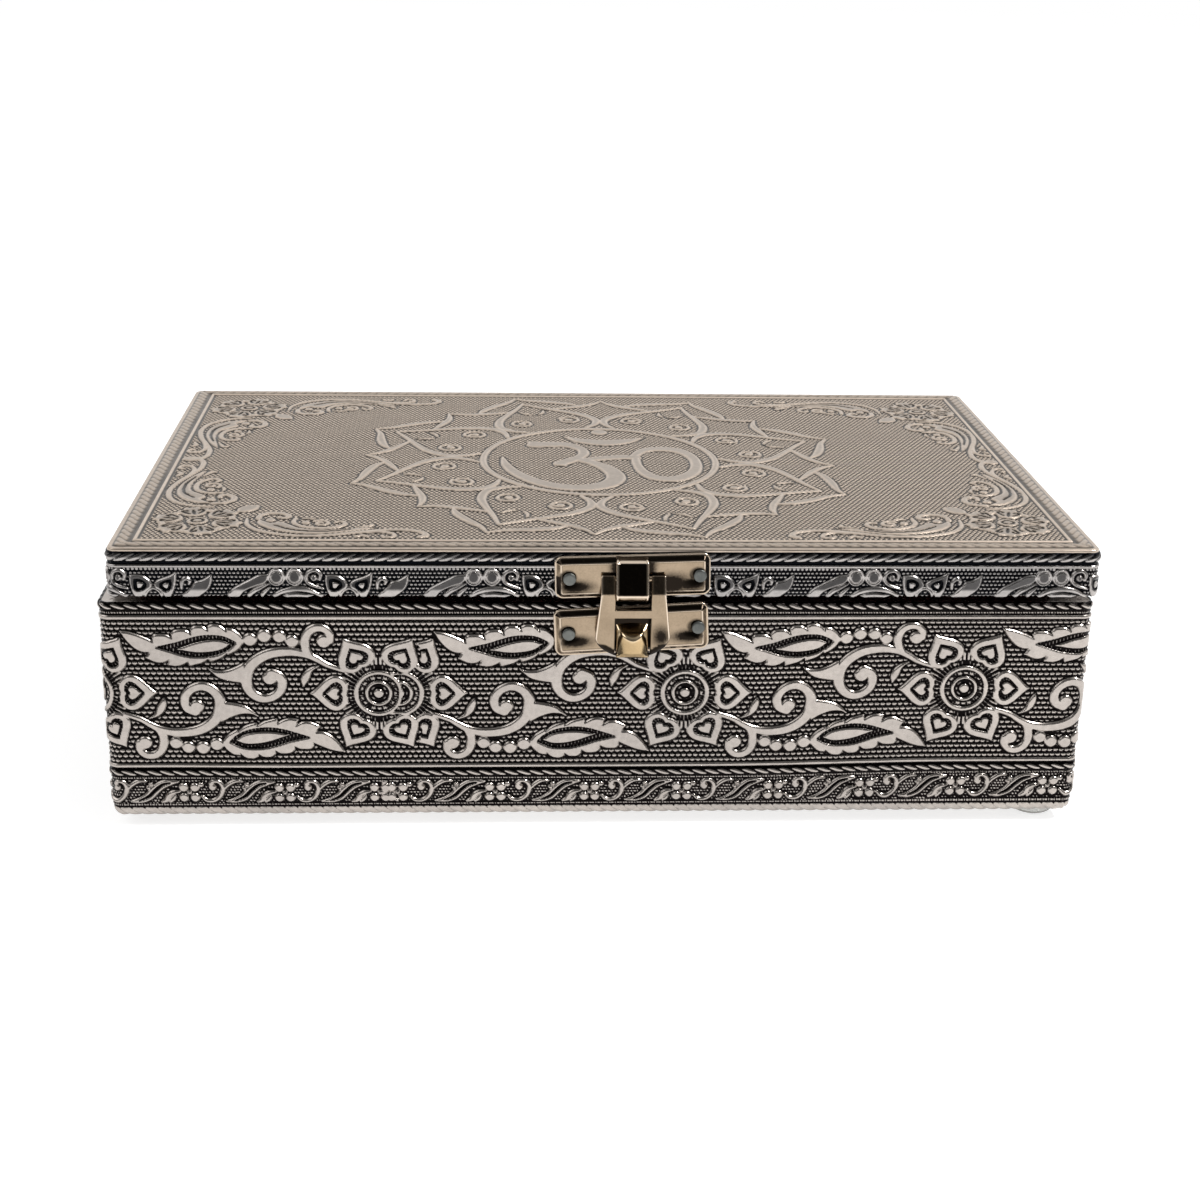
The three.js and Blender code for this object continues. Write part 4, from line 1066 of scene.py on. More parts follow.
def top_relief(x, y, inset, die, beads):
    """Height and polish of the lid's top at places from the middle of the box, over a beaded ground."""
    struck_x = x - 0.7 * ease((5 - x) / 30)
    struck_y = y + 0.95 + (0.4 - 0.013 * y) * ease((70 - np.abs(x)) / 15)
    height, polish, raised = die.sample(struck_x, struck_y, "raised")
    field = ease((inset - TOP_LINE[1] - 0.3) / 0.4)
    clear = ease((-raised - 0.1) / MOAT) * field
    height = np.maximum(TOP_SHARE * height, BEAD * beads * clear) * field
    # The raised forms are dimmed to a mid tone, with a slightly brighter line just inside their edges as
    # a painted highlight
    polish = np.minimum(polish, 0.54 + 0.14 * mound((raised - 0.25) / 0.3))
    polish = np.maximum(polish, ease((beads - 0.25) / 0.35) * clear) * field
    line = line_in(inset, TOP_LINE, 0.3)
    nearer_end = (lid_half_width - np.abs(x - lid_middle)) < (half_depth - np.abs(y))
    twist, across = rope_in(np.where(nearer_end, y, x), inset, TOP_ROPE, ROPE_PITCH, 0.8)
    lit = (0.36 + 0.24 * ease((twist - 0.35) / 0.35)) * (np.abs(across) < 1)
    rim = 0.64 * ease((TOP_ROPE[0] - 0.1 - inset) / 0.25)
    border = 0.32 * ease((TOP_LINE[1] + 0.5 - inset) / 0.3)
    height = most(height, LID_LINE_HEIGHT * line, TOP_ROPE_HEIGHT * twist)
    return height, most(polish, line, lit, rim, border)


def clad_lid_top(die, pitch, splits, material):
    """The embossed sheet over the lid, with its edge rolled down over the sides."""
    columns = grid_lines(lid_half_width, pitch[0], TOP_NEAR)
    rows = grid_lines(half_depth, pitch[1], TOP_NEAR)[::-1]
    x, y, inset = rounded(*np.meshgrid(columns, rows), (lid_half_width, half_depth), CORNER)
    # The beads keep step with the grid, so that each has a grid point on its top
    line = 9
    bead_x = (x - columns[line]) * pitch[0] / (columns[line + 1] - columns[line])
    bead_y = (y - rows[line]) * pitch[1] / abs(rows[line + 1] - rows[line])
    beads = lens_beads(bead_x, bead_y, LID_TOP_PITCH, LID_TOP_BEAD)
    height, polish = top_relief(x + lid_middle, y, inset, die, beads)
    drop = rounding(inset, TOP_EDGE)
    height = height * ease((inset - 0.4) / 0.5) + dents(x, y) * ease((inset - 2) / 10)
    points = np.stack([x + lid_middle, y, lid_high + height - drop], axis=2)
    skirt = np.pad(points, ((1, 1), (1, 1), (0, 0)), mode="edge")
    for strip in (skirt[0], skirt[-1], skirt[:, 0], skirt[:, -1]):
        strip[..., 2] = lid_high - SKIRT
    polish = np.pad(polish, 1, mode="edge")
    grid_piece("embossed_lid_top", skirt, polish, splits, "lid", "lid_top_cladding", material, True)


# Materials

class Graph:
    """A tree of shader nodes, made one by one."""

    def __init__(self, tree):
        self.tree = tree

    def give(self, socket, value):
        """Link a socket to another one, or give it a value."""
        if isinstance(value, bpy.types.NodeSocket):
            self.tree.links.new(value, socket)
        elif isinstance(value, tuple) and socket.type == "RGBA":
            socket.default_value = (*value, 1)
        else:
            socket.default_value = value

    def add(self, kind, inputs=None, **settings):
        node = self.tree.nodes.new("ShaderNode" + kind)
        for key, value in settings.items():
            setattr(node, key, value)
        for key, value in (inputs or {}).items():
            self.give(node.inputs[key], value)
        return node

    def maths(self, operation, a, b):
        return self.add("Math", {0: a, 1: b}, operation=operation).outputs[0]


class Shader(Graph):
    """A material."""

    def __init__(self, name):
        self.material = bpy.data.materials.new(name)
        self.material.use_nodes = True
        super().__init__(self.material.node_tree)
        self.tree.nodes.clear()

    def attribute(self, name):
        return self.add("Attribute", attribute_name=name).outputs["Fac"]

    def noise(self, scale, detail=3, roughness=0.55, stretch=(1, 1, 1)):
        """Fractal noise in the part's own place; scale is in patches for each metre."""
        place = self.add("TexCoord").outputs["Object"]
        place = self.add("Mapping", {"Vector": place, "Scale": stretch}).outputs["Vector"]
        inputs = {"Vector": place, "Scale": scale, "Detail": detail, "Roughness": roughness}
        return self.add("TexNoise", inputs).outputs["Fac"]

    def ramp(self, value, start, end, first=0.0, last=1.0):
        """A level that goes from the first to the last while a value goes from start to end."""
        node = self.add("ValToRGB", {"Fac": value})
        for element, place, level in zip(node.color_ramp.elements, (start, end), (first, last)):
            element.position = place
            element.color = (level, level, level, 1)
        return node.outputs["Color"]

    def mix(self, share, a, b, blend="MIX"):
        """A colour between two others."""
        node = self.add("Mix", {0: share}, data_type="RGBA", blend_type=blend)
        colours = [socket for socket in node.inputs if socket.type == "RGBA"]
        self.give(colours[0], a)
        self.give(colours[1], b)
        return next(socket for socket in node.outputs if socket.type == "RGBA")

    def bump(self, height, strength, distance, normal=None):
        inputs = {"Height": height, "Strength": strength, "Distance": distance}
        if normal is not None:
            inputs["Normal"] = normal
        return self.add("Bump", inputs).outputs["Normal"]

    def close(self, node):
        """The material, with a node's first output as its surface."""
        self.add("OutputMaterial", {"Surface": node.outputs[0]})
        return self.material

    def finish(self, **inputs):
        """The material with a Principled shader, whose inputs are given by their sockets' names."""
        named = {key.replace("_", " "): value for key, value in inputs.items()}
        return self.close(self.add("BsdfPrincipled", named))


def embossed_metal(name, bright, dull, dark, gloss, bare=(0.3, 0.72)):
    """Aged silver-coloured sheet: bright where it stands up, dark patina in its hollows. Gloss is its
    least and its greatest roughness, and bare the polish at which it starts and ends to shine."""
    shader = Shader(name)
    cloud = shader.noise(38, 4)
    grain = shader.noise(900, 3)
    scratch = shader.noise(260, 4, 0.7, (1, 1, 7))
    metal = shader.mix(shader.ramp(cloud, 0.35, 0.65), bright, dull)
    metal = shader.mix(0.35, metal, shader.ramp(grain, 0.3, 0.75, 0.45), "MULTIPLY")
    uneven = shader.maths("MULTIPLY", shader.maths("SUBTRACT", cloud, 0.5), 0.25)
    worn = shader.maths("ADD", shader.attribute("polish"), uneven)
    colour = shader.mix(shader.ramp(worn, *bare), dark, metal)
    rough = shader.ramp(scratch, 0.3, 0.7, *gloss)
    normal = shader.bump(scratch, 0.12, 0.00006, shader.bump(cloud, 0.25, 0.0006))
    return shader.finish(Base_Color=colour, Metallic=1.0, Roughness=rough, Normal=normal)


def plated(name, light, deep, tarnish_and_shade_colour, wear_and_highlight, gloss, grain_bump=0.1):
    """Plated latch metal with a faint brushed grain and random smudges. One attribute darkens it, in its
    dents and elsewhere, as patina and painted shade; another lightens it as worn metal and painted
    highlights.
    """
    shader = Shader(name)
    smudge = shader.noise(160, 4)
    speck = shader.noise(2600, 3, 0.7)
    grain = shader.noise(1500, 2, 0.6, (1, 1, 6))
    colour = shader.mix(shader.ramp(smudge, 0.3, 0.7), light, deep)
    colour = shader.mix(0.35, colour, shader.ramp(speck, 0.3, 0.6, 0.6), "MULTIPLY")
    uneven = shader.maths("MULTIPLY", shader.maths("SUBTRACT", speck, 0.5), 0.6)
    worn = shader.maths("ADD", shader.attribute("tarnish_and_shade"), uneven)
    # Worn metal and painted highlights lighten the colour here, and patina and painted shade darken it
    colour = shader.mix(shader.attribute("wear_and_highlight"), colour, wear_and_highlight)
    colour = shader.mix(shader.ramp(worn, 0.12, 0.8), colour, tarnish_and_shade_colour)
    rough = shader.ramp(smudge, 0.3, 0.7, *gloss)
    normal = shader.bump(smudge, 0.2, 0.0002, shader.bump(grain, grain_bump, 0.00004))
    return shader.finish(Base_Color=colour, Metallic=1.0, Roughness=rough, Normal=normal)


def wood_grain(name):
    """Plain light board."""
    shader = Shader(name)
    grain = shader.noise(60, 5, 0.6, (1, 9, 9))
    colour = shader.mix(grain, (0.42, 0.27, 0.14), (0.58, 0.41, 0.24))
    rough = shader.ramp(grain, 0.3, 0.7, 0.6, 0.8)
    return shader.finish(Base_Color=colour, Roughness=rough, Normal=shader.bump(grain, 0.3, 0.0003))


def velvet_cloth(name, nap, shade):
    """Short-piled velvet with brushed patches."""
    shader = Shader(name)
    brushed = shader.noise(45, 4, 0.6, (1, 2.4, 1))
    pile = shader.noise(3200, 2, 0.7)
    colour = shader.mix(shader.ramp(brushed, 0.35, 0.65), shade, nap)
    colour = shader.mix(0.4, colour, shader.ramp(pile, 0.3, 0.7, 0.35), "MULTIPLY")
    normal = shader.bump(brushed, 0.3, 0.0008, shader.bump(pile, 0.6, 0.0003))
    sheen = {"Sheen_Weight": 0.45, "Sheen_Roughness": 0.35, "Sheen_Tint": (0.9, 0.3, 0.34)}
    return shader.finish(Base_Color=colour, Roughness=0.92, Normal=normal, **sheen)


def felt_cloth(name):
    """Matted dark felt."""
    shader = Shader(name)
    fibre = shader.noise(1800, 5, 0.75)
    colour = shader.mix(fibre, (0.012, 0.012, 0.014), (0.045, 0.045, 0.05))
    return shader.finish(Base_Color=colour, Roughness=0.97, Normal=shader.bump(fibre, 0.8, 0.0004))


def clear_bumper(name):
    """Milky soft plastic."""
    shader = Shader(name)
    haze = shader.noise(500, 3)
    colour = shader.mix(haze, (0.78, 0.78, 0.74), (0.88, 0.87, 0.83))
    rough = shader.ramp(haze, 0.3, 0.7, 0.16, 0.3)
    normal = shader.bump(haze, 0.1, 0.0001)
    clear = {"Transmission_Weight": 0.55, "IOR": 1.45}
    return shader.finish(Base_Color=colour, Roughness=rough, Normal=normal, **clear)


silver = embossed_metal(
    "aged_silver", (0.51, 0.46, 0.42), (0.42, 0.38, 0.35), (0.005, 0.004, 0.004), (0.20, 0.32)
)
lid_silver = embossed_metal(
    "lid_silver", (0.76, 0.635, 0.525), (0.64, 0.535, 0.44), (0.042, 0.036, 0.03), (0.27, 0.38)
)
# The lid sides' silver: its bluish dark is patina in the hollows and, on the raised tops, a painted dark
# reflection
lid_side_silver = embossed_metal(
    "lid_side_silver", (0.50, 0.465, 0.44), (0.38, 0.36, 0.35), (0.004, 0.0045, 0.006), (0.20, 0.34),
    bare=(0.38, 0.85),
)
# The plated metals' dark colours stand for patina and painted shade, and their light ones for worn metal
# and painted highlights
champagne = plated(
    "champagne_plate", (0.37, 0.285, 0.20), (0.29, 0.22, 0.15), tarnish_and_shade_colour=(0.016, 0.012, 0.009),
    wear_and_highlight=(0.72, 0.60, 0.48), gloss=(0.12, 0.22),
)
gold = plated(
    "gold_plate", (0.55, 0.40, 0.22), (0.46, 0.33, 0.18), tarnish_and_shade_colour=(0.03, 0.018, 0.01),
    wear_and_highlight=(0.85, 0.68, 0.46), gloss=(0.10, 0.18),
)
steel = plated(
    "nail_steel", (0.19, 0.195, 0.18), (0.12, 0.125, 0.12), tarnish_and_shade_colour=(0.02, 0.02, 0.02),
    wear_and_highlight=(0.3, 0.3, 0.3), gloss=(0.34, 0.5), grain_bump=0.5,
)
wood = wood_grain("board")
velvet = velvet_cloth("red_velvet", (0.16, 0.012, 0.022), (0.075, 0.005, 0.010))
felt = felt_cloth("black_felt")
bumper = clear_bumper("clear_bumper")


# Sheets

frieze = make_frieze()
vine = make_vine()
lid_band = make_lid_band()
lid_top = make_lid_top()
fine = (GROUND_PITCH[0] / 5, GROUND_PITCH[1] / 5)
coarse = (0.4, GROUND_PITCH[1] / 3)
cladding = (("front", fine, 3), ("right", fine, 2), ("left", fine, 2), ("back", coarse, 1))
for side, pitch, splits in cladding:
    clad_base(side, frieze, vine, pitch, splits, silver)
for side, pitch in (("front", 0.195), ("right", 0.2), ("left", 0.2), ("back", 0.32)):
    clad_lid_side(side, lid_band, (pitch, 0.17), lid_side_silver)
clad_lid_top(lid_top, (LID_TOP_PITCH[0] / 4, LID_TOP_PITCH[1] / 3), splits=4, material=lid_silver)


# Linings, felt and feet

FULL_TURN = 6.28


def cloth_waves(x, y, seed):
    """Low, uneven ripples of cloth drawn over board, from -1 to 1."""
    total = 0
    for turn in range(5):
        angle = seed + 2.4 * turn
        length = 9.0 + 4.3 * turn
        place = x * math.cos(angle) + y * math.sin(angle)
        total = total + np.sin(place / length * FULL_TURN + 1.7 * turn * seed)
    return total / 5


SOFT_EDGE = (0, 0.06, 0.18, 0.38, 0.7, 1.2, 2.0)


def slab_points(low, high, corner, pitch, near=SOFT_EDGE):
    """Grid places of a rectangle with round corners, and how far in from its edge each lies."""
    half = (np.array(high) - low) / 2
    grid = np.meshgrid(grid_lines(half[0], pitch, near), grid_lines(half[1], pitch, near))
    x, y, inset = rounded(*grid, half, corner)
    middle = (np.array(low) + high) / 2
    return x + middle[0], y + middle[1], inset


def shell(name, front, back, faces, attributes=None):
    """A closed thin form between two sets of points, walled wherever the front's faces end."""
    used, faces = np.unique(faces, return_inverse=True)
    faces = faces.reshape(-1, 4)
    count = len(used)
    edges = np.concatenate([faces[:, [corner, (corner + 1) % 4]] for corner in range(4)])
    keys = edges.min(axis=1) * count + edges.max(axis=1)
    _, first, copies = np.unique(keys, return_index=True, return_counts=True)
    rim = edges[first[copies == 1]]
    walls = np.stack([rim[:, 1], rim[:, 0], rim[:, 0] + count, rim[:, 1] + count], axis=1)
    doubled = {}
    for key, values in (attributes or {}).items():
        kept = np.asarray(values).ravel()[used]
        doubled[key] = np.concatenate([kept, kept])
    points = np.vstack([front.reshape(-1, 3)[used], back.reshape(-1, 3)[used]])
    return make_mesh(name, points, np.vstack([faces, faces[:, ::-1] + count, walls]), doubled)


def loft(name, points, attributes=None):
    """A closed form whose rows of points go round its section and whose columns go along it."""
    rows, columns = points.shape[:2]
    numbers = np.arange(rows * columns).reshape(rows, columns)
    ring = np.vstack([numbers, numbers[:1]])
    sides = np.stack([ring[:-1, :-1], ring[1:, :-1], ring[1:, 1:], ring[:-1, 1:]], axis=2)
    faces = [sides.reshape(-1, 4)]
    near = np.arange(rows // 2 - 1)
    for column, flip in ((0, -1), (columns - 1, 1)):
        end = numbers[:, column]
        cap = np.stack([end[near], end[near + 1], end[rows - 2 - near], end[rows - 1 - near]], axis=1)
        faces.append(cap[:, ::flip])
    return make_mesh(name, points.reshape(-1, 3), np.vstack(faces), attributes)


def closed_slab(name, x, y, lower, upper):
    """A closed mesh between a lower and an upper grid of heights."""
    rows, columns = x.shape
    top = np.stack([x, y, upper], axis=2).reshape(-1, 3)
    bottom = np.stack([x, y, lower], axis=2).reshape(-1, 3)
    return shell(name, top, bottom, grid_faces(rows, columns)[:, ::-1])


def velvet_pad(name, node, body, facing):
    """A thin padded board under velvet: a rolled edge, a low crown and the ripples of the cloth."""
    low, high = corners(node)
    x, y, inset = slab_points(low[:2], high[:2], corner=2.0, pitch=1.4)
    thick = high[2] - low[2]
    crown = 0.7
    roll = 0.75
    swell = crown * np.sin(np.clip((inset - roll) / 24, 0, 1) * math.pi / 2)
    ripple = 0.09 * cloth_waves(x, y, 0.7) * ease(inset / 6)
    tuck = 0.12 * np.sin((x + y) / 1.9) * np.exp(-inset / 1.6) * ease(inset / 0.5)
    up = (thick - crown) * quarter_round(inset / roll) + swell + ripple - 0.1 * ease(inset / 6) + tuck
    if facing > 0:
        piece = closed_slab(name, x, y, np.full(x.shape, low[2]), low[2] + up)
    else:
        piece = closed_slab(name, x, y, high[2] - up, np.full(x.shape, high[2]))
    finish_piece(piece, velvet, body, "velvet", node)


def liner(name, side, half, section, body, node):
    """Velvet over a thin board along one side. Its section's rows are depths and heights."""
    shares = np.linspace(-1, 1, max(8, round(2 * half / 1.5)))
    depth = np.repeat(section[:, :1], len(shares), axis=1)
    height = np.repeat(section[:, 1:], len(shares), axis=1)
    along = np.broadcast_to(shares * half, depth.shape)
    ripple = 0.07 * cloth_waves(along, height * 2.2, 0.4 + half / 90)
    ripple = ripple * ease((1 - np.abs(shares)) * half / 3)
    points = bend_profile(half, shares, 0 * shares, depth + ripple, height + 0.4 * ripple)
    points = turned_side(points, side)
    if body == "lid":
        points = on_lid(points, side)
    finish_piece(loft(name, points), velvet, body, "velvet", node)


def edge_section(near, far, foot, crest):
    """A narrow section with a round crest, from its inner foot over the crest to its outer foot."""
    radius = (far - near) / 2
    up = 1 if crest > foot else -1
    shoulder = crest - up * radius
    heights = [foot + (shoulder - foot) * step / 12 for step in range(12)]
    rows = [(far, height) for height in heights]
    for step in range(10):
        across, rise = polar((near + radius, 0), radius, math.pi * step / 9)
        rows.append((across, shoulder + up * rise))
    rows += [(near, height) for height in reversed(heights)]
    return np.array(rows if up > 0 else rows[::-1])


def make_linings():
    """Velvet walls, pads and edges."""
    velvet_pad("velvet_floor", "velvet_floor_pad", "base", 1)
    velvet_pad("velvet_lid", "lid_velvet_pad", "lid", -1)
    for side in ("front", "back", "left", "right"):
        for body, name, node, width, middle in (
            ("base", f"velvet_liner_{side}", f"velvet_wall_{side}", half_width, 0),
            ("lid", f"velvet_lid_edge_{side}", f"lid_velvet_edge_{side}", lid_half_width, lid_middle),
        ):
            low, high = corners(node)
            if side in ("front", "back"):
                half, outer = width, half_depth
                reach = np.abs([low[1], high[1]])
            else:
                half, outer = half_depth, width
                reach = np.abs([low[0] - middle, high[0] - middle])
            ends = (low[2], high[2]) if body == "base" else (high[2], low[2])
            section = edge_section(outer - max(reach), outer - min(reach), *ends)
            liner(name, side, half, section, body, node)


def make_felt():
    """The sheet of felt beneath, with a softly cut edge."""
    low, high = corners("base_felt")
    x, y, inset = slab_points(low[:2], high[:2], corner=6.0, pitch=2.5)
    fray = 0.05 * cloth_waves(x * 3, y * 3, 1.1)
    lower = low[2] + 0.12 * (1 - ease(inset / 0.5)) + 0.04 + fray * ease(inset / 2) * 0.6
    piece = closed_slab("felt_sheet", x, y, lower, np.full(x.shape, high[2]))
    finish_piece(piece, felt, "base", "felt", "base_felt")


def turned_form(name, profile, middle, count=48, turn=None):
    """A closed form turned about Z from rows of radius and height, from its foot to its top. A turn
    is a matrix that then points its axis another way before it is put at its place."""
    rows = np.array(profile, float)
    angles = np.linspace(0, 2 * math.pi, count, endpoint=False)
    ring = rows[1:-1]
    x = ring[:, :1] * np.cos(angles)
    y = ring[:, :1] * np.sin(angles)
    z = np.broadcast_to(ring[:, 1:2], x.shape)
    points = np.stack([x, y, z], axis=2).reshape(-1, 3)
    first = np.arange(count)
    after = np.roll(first, -1)
    quads = np.stack([first, after, count + after, count + first], axis=1)
    foot = len(points)
    last = foot - count
    faces = np.vstack([start + quads for start in range(0, last, count)]).tolist()
    pairs = list(zip(first.tolist(), after.tolist()))
    faces += [(b, a, foot) for a, b in pairs]
    faces += [(last + a, last + b, foot + 1) for a, b in pairs]
    points = np.vstack([points, (0, 0, rows[0, 1]), (0, 0, rows[-1, 1])])
    if turn is not None:
        points = points @ np.array(turn, float).T
    mesh = bpy.data.meshes.new(name)
    mesh.from_pydata(((points + np.array(middle)) * MM).tolist(), [], faces)
    smooth_faces(mesh)
    mesh.update()
    return linked(name, mesh)


def smooth_faces(mesh):
    for face in mesh.polygons:
        face.use_smooth = True


def make_feet():
    """Four soft clear bumpers: a flat sole, a full round side and a thin glue line on top."""
    for node in sorted(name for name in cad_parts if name.startswith("foot_")):
        low, high = corners(node)
        middle = (low + high) / 2
        radius = (high[0] - low[0]) / 2
        height = high[2] - low[2]
        profile = [(0, low[2]), (radius * 0.55, low[2])]
        for angle in np.arange(13) / 12 * math.pi / 2:
            rise = height * 0.72 * (1 - math.cos(angle))
            profile.append((radius * (0.62 + 0.38 * math.sin(angle)), low[2] + rise))
        profile += [(radius, high[2] - 0.12), (radius * 0.97, high[2]), (0, high[2])]
        piece = turned_form(f"bumper_{node[5:]}", profile, (middle[0], middle[1], 0))
        finish_piece(piece, bumper, "base", "bumper", node)


make_linings()
make_felt()
make_feet()


# Latch, measured to the right, out of the wall and up from its own middle at the rim

LATCH = (5.8, -64.66, 49.2)
PLATE_EDGE = (0, 0.04, 0.1, 0.18, 0.3, 0.5, 0.75, 0.95, 1.08, 1.2, 1.34, 1.5, 1.75, 2.0)
PLATE_LIP = 0.35
PLATE_FACE = 1.05
PLATE_METAL = 0.5
NAIL_REACH = 13.0
NAIL_SUNK = 0.42
STRAP_WIDTH = 6.5
STRAP_THICKNESS = 0.7
STRAP_LEFT = 0.25
STRAP_PATH = ((0.5, 10.3, 0), (2.95, 9.62, 0.4), (5.02, 3.15, 0.45), (3.9, 1.5, 1.1), (0.6, 1.45, 0))
PIVOT = (2.35, 6.1)
PIVOT_RADIUS = 0.8
# The drop at which the hasp's plate leaves the bar it is wound round
WOUND = -0.566
HASP_OUT = 4.2
HASP_THICKNESS = 0.8
HASP_THICKNESS_AT_BAR = 0.5
HASP_BAR_RADIUS = 0.66
HASP_TOP = 6.45
HASP_WIDE = 7.5
HASP_CREASE = 2.6
HASP_WAIST = 12.0
HASP_FOOT = 16.5
WINDOW = 3.55
UPPER_WINDOW = 5.9
LOWER_WINDOW = (7.8, 15.4)
CATCH_RISE = -5.3


def latch_place(right, out, up):
    """Points of the latch in the box's frame."""
    return np.stack([LATCH[0] + right, LATCH[1] - out + 0 * right, LATCH[2] + up], axis=-1)


def lesser(a, b, softness):
    """The smaller of two heights, with the crease between them rounded."""
    gap = np.clip(1 - np.abs(a - b) / softness, 0, 1)
    return np.minimum(a, b) - gap * gap * softness / 4


def latch_plate(name, node, body, size, rise, tilt, strapped):
    """A stamped plate: a rolled lip, slopes all round, and a face hammered in at its nails."""
    width, height = size
    low, high = (-width / 2, -height / 2), (width / 2, height / 2)
    p, q, inset = slab_points(low, high, corner=1.6, pitch=0.3, near=PLATE_EDGE)
    lip = PLATE_LIP * quarter_round(inset / 0.12)
    slope = np.clip((inset - 0.3) * 1.15, 0, None)
    out = lip + lesser(slope, PLATE_FACE + 0 * inset, 0.14) + 0.08 * ease((inset - 1.2) / 2.5)
    out = out + 0.05 * mound((inset - 1.3) / 0.09)
    # Lighter along its edges as worn metal and painted highlights, darker in its slopes, round the nails
    # and beside the strap as patina and painted shade
    sloped = (inset < 1.12) & (inset > 0.3)
    at_ends = sloped & (np.abs(p) > width / 2 - 1.6) & (np.abs(q) < height / 2 - 0.9)
    # The bright line where the slopes meet the face is a painted highlight, and the lighter lower slopes
    # are a painted reflection
    ridge = 0.8 * mound((inset - 1.26) / 0.13)
    wear_and_highlight = most(ridge, 0.6 * ease((0.34 - inset) / 0.1), 0.35 * (sloped & (q < 0) & ~at_ends))
    # The upper slope is darkened as a painted dark reflection
    dark = [0.85 * (sloped & (q > height / 2 - 1.3)) + 0.4 * mound((inset - 1.5) / 0.1)]
    for side in (-1, 1):
        inward = side * (side * NAIL_REACH - p)
        reach = np.where(inward > 0.5, 4.0, 1.9)
        dent = mound((inward - 0.5) / reach) * mound((q + 0.25) / 1.9)
        out = out - 0.55 * dent * ease((inset - 0.2) / 1.3)
        # Round each nail a darker ring, and below and inside it a painted shadow
        shadow = mound((inward - 1.5) / 3.6) * mound((q + 1.75) / 1.3)
        dark += [0.75 * ease((2.3 - np.hypot(inward, q)) / 0.9), 1.15 * shadow * (inset > 1.1)]
    if strapped:
        # Darker on the slopes at its ends, beside the strap as painted shade, and in a patch right of
        # the strap as a painted dark reflection
        dark.append(0.9 * at_ends * ((p > 0) | (q < 0.5)))
        dark.append(mound((np.abs(p) - STRAP_WIDTH / 2) / 1.5) * ease((inset - 1.1) / 0.3))
        smudge = mound((p - 7.2) / 4.4) * mound((q + 1.5) / 2.2)
        dark.append(1.2 * smudge * (inset > 1.1))
    else:
        # The middle, which the hasp covers, is darkened as painted shade
        dark.append(ease((4.3 - np.abs(p)) / 0.5) * (q > -4.4) * (inset > 0.3))
    cos, sin = math.cos(math.radians(tilt)), math.sin(math.radians(tilt))
    right, up = p * cos - q * sin, rise + p * sin + q * cos
    front = latch_place(right, out, up)
    back = latch_place(right, np.maximum(out - PLATE_METAL, 0.02), up)
    faces = grid_faces(*p.shape)[:, ::-1]
    piece = shell(name, front, back, faces, {"tarnish_and_shade": most(*dark), "wear_and_highlight": wear_and_highlight})
    finish_piece(piece, champagne, body, "latch_metal", node)


def rounded_path(corner_rows, shrink=1.0, steps=9):
    """A path of two coordinates through corners that are each cut by a curve of their reach."""
    rows = [np.array(row, float) for row in corner_rows]
    path = [rows[0][:2]]
    for before, here, after in zip(rows, rows[1:], rows[2:]):
        into = here[:2] - before[:2]
        onward = after[:2] - here[:2]
        start = here[:2] - into / np.linalg.norm(into) * here[2] * shrink
        end = here[:2] + onward / np.linalg.norm(onward) * here[2] * shrink
        for step in range(steps):
            share = step / (steps - 1)
            path.append((1 - share) ** 2 * start + 2 * share * (1 - share) * here[:2] + share**2 * end)
    path.append(rows[-1][:2])
    return np.array(path)


def inner_corners(corner_rows, depth):
    """The same corners on the inner side of a strip that is so thick."""
    rows = np.array(corner_rows, float)
    runs = np.diff(rows[:, :2], axis=0)
    runs /= np.linalg.norm(runs, axis=1, keepdims=True)
    sideways = np.stack([-runs[:, 1], runs[:, 0]], axis=1)
    before = np.vstack([sideways[:1], sideways])
    after = np.vstack([sideways, sideways[-1:]])
    mitre = (before + after) / (1 + np.sum(before * after, axis=1, keepdims=True))
    rows[:, :2] -= depth * mitre
    return rows


def strip_section(half, thickness, radius):
    """Rows of across and depth from 0 to 1 round a strip's section, from right to left and back."""
    outer = []
    for step in range(6):
        angle = math.pi / 2 * (1 - step / 5)
        outer.append((half - radius + radius * math.sin(angle), radius - radius * math.cos(angle)))
    outer += [(half - radius - 0.16, 0.02), (half - radius - 0.27, 0.08), (half - radius - 0.4, 0.13)]
    outer += [(share * (half - radius), 0.14) for share in (0.75, 0.5, 0.25, 0, -0.25, -0.5, -0.75)]
    outer += [(-across, depth) for across, depth in reversed(outer[:9])]
    inner = [(across, thickness - depth) for across, depth in reversed(outer)]
    rows = np.array(outer + inner)
    rows[:, 1] /= thickness
    return rows


